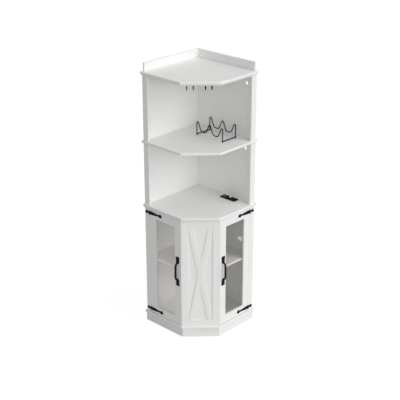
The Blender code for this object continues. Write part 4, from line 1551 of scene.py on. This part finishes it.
@dataclass
class BowHandle:
    """A forged pull: two spade plates with screws, joined by a bowed bar."""

    side: Side
    plan: Plan = PLAN
    from_edge: float = 0.0295
    foot: float = 0.3687
    height: float = 0.2075
    half_width: float = 15.0 * MM
    top_plate: float = 51.0 * MM
    bottom_plate: float = 50.0 * MM
    plate_steps: int = 48
    thick: float = 2.5 * MM
    ease: float = 0.8 * MM
    bar: float = 7.0 * MM
    bar_steps: int = 60
    bar_sides: int = 20
    root: float = 3.5 * MM
    reach: float = 20.7 * MM
    overlap: float = 9.5 * MM
    bow_power: int = 7
    taper: float = 0.10
    taper_start: float = 1.6
    taper_slope: float = 3.0
    screw_share: float = 0.22
    screw: ScrewHead = ScrewHead(3.0 * MM, 1.4 * MM)

    def place(self, points: Array) -> Array:
        """Puts rows of (across, up, out from the door's face) in the frame."""
        along, out = self.plan.door_end - self.from_edge, self.plan.front + self.plan.seat_gap
        return self.side.value.place_sheet(points + [along, self.foot, out])

    def plate(self, height: float) -> Array:
        """A plate's outline from its square outer end over a waist to the lobe under the bar.

        The half width follows marks of share of height and share of width, and each point
        between the ends is then averaged with its neighbours, a quarter, a half and a quarter.

        Args:
            height: height of the plate.

        Returns:
            The outline as (across, up), with the outer end at height 0.
        """
        marks = np.array([[0.0, 0.93], [0.03, 1.0], [0.40, 1.0], [0.47, 0.92], [0.53, 0.84],
                          [0.59, 0.84], [0.65, 0.94], [0.72, 0.98], [0.80, 0.90], [0.88, 0.72],
                          [0.95, 0.50], [1.0, 0.38]])
        share = np.linspace(0, 1, self.plate_steps + 1)
        wide = self.half_width * np.interp(share, *marks.T)
        wide[1:-1] = (wide[:-2] + 2 * wide[1:-1] + wide[2:]) / 4
        right = np.stack([wide, share * height], axis=1)
        return np.concatenate([right, right[::-1] * [-1, 1]])

    def bow(self) -> Shell:
        """The bar between the plates.

        With s = sin(90 degrees times t) for t from -1 at its foot to 1 at its head, it stands out
        by root + (reach - root) (1 - |s|^p). Its radius is bar (1 - taper f), where f is
        slope |s| - start, held between 0 and 1.

        Returns:
            The shell, with points as (across, up, out).
        """
        low = self.bottom_plate - self.overlap
        high = self.height - self.top_plate + self.overlap
        swing = np.sin(np.linspace(-1, 1, self.bar_steps + 1) * QUARTER_TURN)
        out = self.root + (self.reach - self.root) * (1 - np.abs(swing) ** self.bow_power)
        path = np.stack([np.zeros_like(swing), low + (high - low) * (1 + swing) / 2, out], axis=1)
        fall = np.clip(np.abs(swing) * self.taper_slope - self.taper_start, 0, 1)
        return tube(path, self.bar * (1 - self.taper * fall), self.bar_sides)

    def build(self) -> None:
        """Makes the pull and its screws."""
        word, body = self.side.word, f"{self.side.word}_door"
        lines = (self.plate(self.bottom_plate),
                 self.plate(self.top_plate) * [1, -1] + [0, self.height])
        shells = [eased_prism(line, 0.0, self.thick, self.ease) for line in lines] + [self.bow()]
        ironwork(f"{word}_door_pull", [shell.moved(self.place) for shell in shells],
                 f"{word}_door_handle", body)
        head, level = self.screw.shell(), self.thick - SCREW_SUNK
        spots = (self.bottom_plate * self.screw_share,
                 self.height - self.top_plate * self.screw_share)
        heads = [head.moved(lambda p, s=spot: self.place(p + [0, s, level])) for spot in spots]
        make_piece(f"{word}_door_pull_screws", heads, body, Finish.POWDER_COATED_IRON)


@dataclass
class PowerOutlet:
    """A flush outlet in the counter: a rimmed face with two sockets, a button and two ports."""

    plan: Plan = PLAN
    start: float = 0.281
    back: float = 0.044
    length: float = 0.124
    depth: float = 0.0455
    height: float = 6.0 * MM
    corner: float = 3.0 * MM
    rim_ease: float = 1.2 * MM
    rim_inset: float = 4.0 * MM
    rim_depths: tuple[float, float] = (0.4 * MM, 2.3 * MM)
    ledge: float = 1.0 * MM
    body_inset: float = 7.0 * MM
    body_corner: float = 2.0 * MM
    body_overlap: float = 2.0 * MM
    body_ease: float = 1.0 * MM
    drop: float = 0.030
    face_inset: float = 4.3 * MM
    face_corner: float = 2.6 * MM
    face_ease: float = 0.3 * MM
    face_depths: tuple[float, float] = (0.5 * MM, 2.0 * MM)
    fine_ease: float = 0.1 * MM
    fine_foot: float = 1.0 * MM
    pad_side: float = 25.0 * MM
    pad_corner: float = 4.0 * MM
    pad_depth: float = 0.42 * MM
    slot_depth: float = 0.35 * MM
    button_depth: float = 0.6 * MM
    socket_places: tuple[float, float] = (18.0 * MM, 46.0 * MM)
    port_place: float = 22.0 * MM
    button_place: tuple[float, float] = (58.0 * MM, 6.0 * MM)

    @property
    def top(self) -> float:
        """Height of the rim's upper face."""
        return self.plan.counter_top + self.plan.seat_gap + self.height

    def inside(self, inset: float) -> tuple[float, float, float, float]:
        """The outlet's rectangle, set in, as distances from the left and the right wall."""
        return (self.start + inset, self.start + self.length - inset,
                self.back + inset, self.back + self.depth - inset)

    def sunk_shape(self, x: tuple[float, float], y: tuple[float, float], radius: float,
                   depth: float) -> Shell:
        """A thin shape let into the face, with rounded corners.

        Args:
            x: its middle and its size along the outlet.
            y: its middle and its size across it.
            radius: radius of its corners.
            depth: how far its upper face lies below the rim's.

        Returns:
            The shell in the part's frame.
        """
        line = rectangle(x[0] - x[1] / 2, x[0] + x[1] / 2, y[0] - y[1] / 2, y[0] + y[1] / 2)
        shell = eased_prism(rounded_outline(line, radius), self.top - self.fine_foot,
                            self.top - depth, self.fine_ease, 2)
        return shell.moved(plan_place)

    def bezel(self) -> None:
        """The raised rim round the face, and the body and gland that hang through the counter."""
        seat, top = self.top - self.height, self.top
        fall, rise = quarter_round(self.rim_ease, 4)
        rings = [(*self.inside(0), seat)]
        rings += [(*self.inside(inset), top - depth) for inset, depth in zip(rise, fall)]
        rings += [(*self.inside(self.rim_inset), top - depth) for depth in self.rim_depths]
        rings += [(*self.inside(self.rim_inset + self.ledge), z)
                  for z in (top - self.rim_depths[1], seat)]
        rim = rect_rings(rings, self.corner, 5).moved(plan_place_upright)
        x0, x1, y0, y1 = self.inside(0)
        under = self.plan.counter_top - self.drop
        line = rectangle(*self.inside(self.body_inset + self.plan.seat_gap))
        body = eased_prism(rounded_outline(line, self.body_corner), under,
                           seat + self.body_overlap, self.body_ease)
        gland = turned(np.array([[5.2, -10.0], [6.0, -9.2], [6.0, -6.0], [5.2, -5.4], [6.0, -4.8],
                                 [6.0, 1.0]]) * MM)
        gland = gland.moved(lambda p: p + [(x0 + x1) / 2, (y0 + y1) / 2, under])
        make_piece("power_outlet_bezel", [rim, body.moved(plan_place), gland.moved(plan_place)],
                   "cabinet", Finish.BLACK_ABS, ["power_outlet_housing"])

    def face(self) -> None:
        """The face, a grey and a black socket on its left, two ports on its right, the button; the
        slots and ports are near-black plates, painted shade where the real ones are holes.
        """
        x0, x1, y0, y1 = self.inside(self.face_inset)
        top, middle = self.top, (y0 + y1) / 2
        line = rounded_outline(rectangle(x0, x1, y0, y1), self.face_corner, 5)
        plate = eased_prism(line, top - self.face_depths[1], top - self.face_depths[0],
                            self.face_ease)
        make_piece("power_outlet_face", plate.moved(plan_place), "cabinet", Finish.BLACK_ABS,
                   ["power_outlet_socket_plate"])
        pad = self.sunk_shape((x0 + self.socket_places[0], self.pad_side),
                              (middle, self.pad_side), self.pad_corner, self.pad_depth)
        make_piece("power_outlet_socket", pad, "cabinet", Finish.SOCKET_GREY)
        rows = np.array([[8.0, 0.0], [8.0, 1.6], [7.6, 2.1], [6.0, 2.4], [0.5, 2.5]])
        button = turned(rows * MM)
        spot = [x0 + self.button_place[0], y0 + self.button_place[1], top - self.button_depth]
        make_piece("power_outlet_button", button.moved(lambda p: plan_place(p + spot)), "cabinet",
                   Finish.PALE_ABS)
        # Each slot's place from its group's middle, its two sizes and its corners, in millimetres;
        # each is a near-black plate, painted shade for the dark inside of a hole
        socket = ((-6.0, -3.5, 1.8, 7.5, 0.8), (6.0, -3.5, 1.8, 9.0, 0.8),
                  (0.0, 7.0, 5.0, 5.0, 2.2))
        ports = ((0.0, -7.5, 13.5, 5.6, 1.0), (0.0, 7.5, 13.5, 5.6, 1.0))
        groups = [(x0 + place, socket) for place in self.socket_places]
        groups.append((x1 - self.port_place, ports))
        slots = [self.sunk_shape((centre + dx * MM, wide * MM), (middle + dy * MM, tall * MM),
                                 radius * MM, self.slot_depth)
                 for centre, group in groups for dx, dy, wide, tall, radius in group]
        make_piece("power_outlet_slots", slots, "cabinet", Finish.SLOT_SHADE_BLACK)

    def build(self) -> None:
        """Makes the bezel and the face."""
        self.bezel()
        self.face()


@dataclass
class StemwareRails:
    """Two hairpins of black wire under the top, each a slot for a row of stemmed glasses."""

    plan: Plan = PLAN
    wire: float = 3.2 * MM
    row_spacing: float = 0.113
    slot: float = 0.0389
    front_inset: float = 0.026
    shift: float = -5.5 * MM
    run: float = 0.220
    drop: float = 0.041
    bend: float = 8.0 * MM
    flange_sides: int = 28

    def build(self) -> None:
        """Bends each hairpin along its corners and seats it on two small round flanges."""
        roof = self.plan.roof_z
        top, low = roof - self.plan.seat_gap, roof - self.drop
        high = top - self.wire
        front = self.plan.centre_edge - self.front_inset
        back = front - self.run
        flange = turned(np.array([[5.4, -1.6], [5.9, -1.2], [6.0, 0.0]]) * MM, self.flange_sides)
        for side, sign in (("left", -1), ("right", 1)):
            middle = sign * self.row_spacing / 2 + self.shift
            a, b = middle - self.slot / 2, middle + self.slot / 2
            corners = [(a, front, top), (a, front, low), (a, back, low), (a, back, high),
                       (b, back, high), (b, back, low), (b, front, low), (b, front, top)]
            bar = tube(smooth_path(np.array(corners), self.bend), self.wire)
            seats = [flange.moved(lambda p, s=spot: p + [s, front, top]) for spot in (a, b)]
            ironwork(f"{side}_stemware_hairpin",
                     [shell.moved(Face.CENTRE.place) for shell in (bar, *seats)],
                     f"{side}_stemware_rail")


@dataclass
class WineRack:
    """Two waves of wire on two floor bars, with rubber-tipped feet."""

    plan: Plan = PLAN
    wire: float = 3.3 * MM
    wire_sides: int = 14
    pad_sides: int = 28
    left: float = 0.174
    back: float = 0.0735
    depth: float = 0.121
    cradle: float = 0.1045
    shoulder: float = 7.0 * MM
    peak: float = 0.0875
    valley: float = 0.0265
    cradles: int = 2
    power: float = 2.3
    foot: float = 4.8 * MM
    cradle_steps: int = 40
    shoulder_steps: int = 9

    @property
    def width(self) -> float:
        """Distance between the two end posts."""
        return 2 * self.shoulder + self.cradles * self.cradle

    def wave(self) -> Array:
        """The wave's path.

        Between the end posts the height is valley + (peak - valley) ((1 + cos 2 pi t)/2)^p for t
        cradles along, and each post turns into it over a quarter circle.

        Returns:
            Points as (along, up).
        """
        angle = np.linspace(math.pi, QUARTER_TURN, self.shoulder_steps + 1)[:-1]
        turn = np.stack([self.shoulder * (1 + np.cos(angle)),
                         self.peak - self.shoulder + self.shoulder * np.sin(angle)], axis=1)
        share = np.linspace(0, self.cradles, self.cradles * self.cradle_steps + 1)
        rise = ((1 + np.cos(FULL_TURN * share)) / 2) ** self.power
        middle = np.stack([self.shoulder + share * self.cradle,
                           self.valley + (self.peak - self.valley) * rise], axis=1)
        start = np.concatenate([[[0.0, self.foot]], turn])
        return np.concatenate([start, middle, start[::-1] * [-1, 1] + [self.width, 0]])

    def build(self) -> None:
        """Makes the waves, the bars and the feet as one welded rack."""
        line, ends = self.wave(), (0.0, self.depth)
        shells = [tube(np.insert(line, 1, y, axis=1), self.wire, self.wire_sides) for y in ends]
        pad = turned(np.array([[4.2, 0.0], [4.8, 0.7], [4.8, 6.6], [4.3, 8.4], [3.0, 9.6]]) * MM,
                     self.pad_sides)
        for x in (0.0, self.width):
            run = np.array([[x, y, self.foot] for y in np.linspace(*ends, 5)])
            shells.append(tube(run, self.wire, self.wire_sides))
            shells += [pad.moved(lambda p, x=x, y=y: p + [x, y, 0]) for y in ends]
        spot = [self.left, self.back, self.plan.middle_top + self.plan.seat_gap]
        placed = [shell.moved(lambda p: plan_place(p + spot)) for shell in shells]
        ironwork("wire_wine_rack", placed, "wine_rack", "wine_rack")


# Studio


@dataclass(frozen=True)
class SoftLamp:
    """A far lamp as broad as a window: where it stands, in degrees, and how strong it is."""

    azimuth: float
    elevation: float
    strength: float
    spread: float = 40.0

    def hang(self, name: str) -> None:
        """Adds the lamp; azimuth 0 faces the right door and 90 the left one.

        For azimuth a and elevation e it stands towards (cos e cos a, -cos e sin a, sin e).

        Args:
            name: the lamp's name.
        """
        lamp = bpy.data.lights.new(name, "SUN")
        lamp.energy, lamp.angle = self.strength, math.radians(self.spread)
        obj = bpy.data.objects.new(name, lamp)
        turn, rise = math.radians(self.azimuth), math.radians(self.elevation)
        towards = Vector((math.cos(rise) * math.cos(turn), -math.cos(rise) * math.sin(turn),
                          math.sin(rise)))
        obj.rotation_euler = towards.to_track_quat("Z", "Y").to_euler()
        bpy.context.scene.collection.objects.link(obj)


@dataclass
class Studio:
    """The pale floor, the soft daylight and the camera."""

    location: tuple[float, float, float] = (4.18371, -4.37321, 3.43440)
    target: tuple[float, float, float] = (-0.03930, 0.04401, 0.86317)
    lens: float = 91.23414
    sensor: float = 36.0
    roll: float = -0.0366
    farthest: float = 200.0
    sky: float = 0.242
    lamps: tuple[SoftLamp, ...] = (SoftLamp(-25, 40, 0.82), SoftLamp(-25, 12, 0.10),
                                   SoftLamp(0, 12, 0.87), SoftLamp(45, 10, 0.53),
                                   SoftLamp(45, 40, 0.17), SoftLamp(20, 80, 0.46))
    floor_rings: tuple[float, ...] = (0.02, 2.0, 8.0, 30.0)
    floor_sides: int = 64
    floor_tone: float = 0.55
    seen_tone: float = 0.12
    floor_glow: float = 0.94
    through_pane: float = 0.15
    bright_card: tuple[float, float] = (1.75, 2.85)
    bright_span: tuple[float, float] = (-1.4, -0.9)
    dark_card: float = 0.2
    card_change: tuple[float, float] = (-0.3, 0.3)

    def camera(self) -> None:
        """A camera turned to its target, with a slight roll.

        With r the direction to the right and u upwards, both square to the view, a roll by t
        turns them into r cos t + u sin t and u cos t - r sin t.
        """
        data = bpy.data.cameras.new("studio_camera")
        data.lens, data.sensor_width = self.lens, self.sensor
        data.clip_end = self.farthest
        obj = bpy.data.objects.new("studio_camera", data)
        bpy.context.scene.collection.objects.link(obj)
        ahead = (Vector(self.target) - Vector(self.location)).normalized()
        right = ahead.cross(Vector((0, 0, 1))).normalized()
        up = right.cross(ahead)
        turn = math.radians(self.roll)
        across = right * math.cos(turn) + up * math.sin(turn)
        above = up * math.cos(turn) - right * math.sin(turn)
        columns = Matrix((across, above, -ahead)).transposed()
        obj.matrix_world = Matrix.Translation(self.location) @ columns.to_4x4()
        bpy.context.scene.camera = obj

    def seen_white(self, tree: Tree) -> Socket:
        """How white it looks: one seen directly or mirrored, less through a pane, else nought.

        That is for camera, glossy and transmission rays that no matt surface has sent on. A ray
        through a pane is a glossy one too, so its share is taken off one.

        Args:
            tree: the world's or the floor's node tree.

        Returns:
            The socket with the share.
        """
        path = add_node(tree, "ShaderNodeLightPath")
        total = path.outputs["Is Camera Ray"]
        for name, share in (("Is Glossy Ray", 1.0),
                            ("Is Transmission Ray", self.through_pane - 1.0)):
            total = add_node(tree, "ShaderNodeMath", {"operation": "MULTIPLY_ADD"},
                             {0: path.outputs[name], 1: share, 2: total}).outputs[0]
        unspread = add_node(tree, "ShaderNodeMath", {"operation": "LESS_THAN"},
                            {0: path.outputs["Diffuse Depth"], 1: 0.5})
        white = add_node(tree, "ShaderNodeMath", {"operation": "MULTIPLY"},
                         {0: total, 1: unspread.outputs[0]})
        return white.outputs[0]

    def daylight(self) -> None:
        """An even sky that looks white and lights less, and broad lamps round from the right."""
        world = bpy.data.worlds.new("studio_daylight")
        world.use_nodes = True
        tree = world.node_tree
        tree.nodes.clear()
        strength = add_node(tree, "ShaderNodeMapRange", None,
                            {"Value": self.seen_white(tree), "To Min": self.sky, "To Max": 1.0})
        sky = add_node(tree, "ShaderNodeBackground", None,
                       {"Color": WHITE, "Strength": strength.outputs[0]})
        add_node(tree, "ShaderNodeOutputWorld", None, {"Surface": sky.outputs[0]})
        bpy.context.scene.world = world
        for number, lamp in enumerate(self.lamps):
            lamp.hang(f"studio_lamp_{number}")

    def card_glow(self, tree: Tree) -> Socket:
        """The floor's glow, which for sharp mirror images only is a bright and a dark card.

        The bright card lies left of the cabinet, brightest near its foot, and the dark one right
        of it. They fade into each other along x + y, and each door's pane mirrors one.

        Args:
            tree: the floor's node tree.

        Returns:
            The socket with the glow.
        """
        spot = add_node(tree, "ShaderNodeNewGeometry")
        along = add_node(tree, "ShaderNodeVectorMath", {"operation": "DOT_PRODUCT"},
                         {0: spot.outputs["Position"], 1: CARD_DIRECTION}).outputs["Value"]
        bright = add_node(tree, "ShaderNodeMapRange", None,
                          {"Value": along, "From Min": self.bright_span[0],
                           "From Max": self.bright_span[1], "To Min": self.bright_card[0],
                           "To Max": self.bright_card[1]})
        card = add_node(tree, "ShaderNodeMapRange", None,
                        {"Value": along, "From Min": self.card_change[0],
                         "From Max": self.card_change[1], "To Min": bright.outputs[0],
                         "To Max": self.dark_card})
        path = add_node(tree, "ShaderNodeLightPath")
        mirrored = add_node(tree, "ShaderNodeMath", {"operation": "MULTIPLY"},
                            {0: path.outputs["Is Singular Ray"],
                             1: path.outputs["Is Reflection Ray"]})
        glow = add_node(tree, "ShaderNodeMapRange", None,
                        {"Value": mirrored.outputs[0], "To Min": self.floor_glow,
                         "To Max": card.outputs[0]})
        return glow.outputs[0]

    def floor_shader(self, tree: Tree) -> Socket:
        """Matt paper for the light that falls on the floor, and a glow where it is seen.

        Args:
            tree: the floor's node tree.

        Returns:
            The socket with the shader.
        """
        matt, faint = (add_node(tree, "ShaderNodeBsdfDiffuse", None,
                                {"Color": (tone, tone, tone, 1.0)})
                       for tone in (self.floor_tone, self.seen_tone))
        glow = add_node(tree, "ShaderNodeEmission", None,
                        {"Color": WHITE, "Strength": self.card_glow(tree)})
        seen = add_node(tree, "ShaderNodeAddShader", None,
                        {0: faint.outputs[0], 1: glow.outputs[0]})
        both = add_node(tree, "ShaderNodeMixShader", None,
                        {0: self.seen_white(tree), 1: matt.outputs[0], 2: seen.outputs[0]})
        return both.outputs[0]

    def floor(self) -> None:
        """A wide round floor: rings (r cos a, r sin a, 0) round a flat middle."""
        angle, reach = around(self.floor_sides), np.array(self.floor_rings)[:, None]
        x, y = reach * np.cos(angle), reach * np.sin(angle)
        shell = grid_shell(np.stack([x, y, np.zeros_like(x)], axis=-1), capped=False)
        mesh = bpy.data.meshes.new("studio_floor")
        mesh.from_pydata(shell.points.tolist(), [],
                         shell.quads[:, ::-1].tolist() + [list(range(self.floor_sides))])
        obj = bpy.data.objects.new("studio_floor", mesh)
        bpy.context.scene.collection.objects.link(obj)
        material, tree = new_material("matt_paper_floor")
        add_node(tree, "ShaderNodeOutputMaterial", None, {"Surface": self.floor_shader(tree)})
        mesh.materials.append(material)

    def build(self) -> None:
        """Sets the view transform and puts the studio together."""
        bpy.context.scene.view_settings.view_transform = "Standard"
        self.camera()
        self.daylight()
        self.floor()


def dress_kept_nodes(frame: dict) -> None:
    """Gives each CAD node that stays in sight the finish of its slot.
    """
    finishes = {finish.value[0]: finish for finish in reversed(Finish)}
    for part in frame["record"]["subparts"]:
        dress(frame["nodes"][part["node"]], finishes[part["material_slot"]])


def main() -> None:
    """Builds the cabinet over its frame."""
    logging.basicConfig(level=logging.INFO, format="%(name)s: %(message)s")
    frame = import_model()
    Studio().build()
    dress_kept_nodes(frame)
    Carcass().build()
    Trim().build()
    CentrePanel().build()
    for side in Side:
        GlazedDoor(side).build()
        for level, height in HINGE_HEIGHTS.items():
            StrapHinge(side, level, height).build()
        BowHandle(side).build()
    PowerOutlet().build()
    StemwareRails().build()
    WineRack().build()


if __name__ == "__main__":
    main()
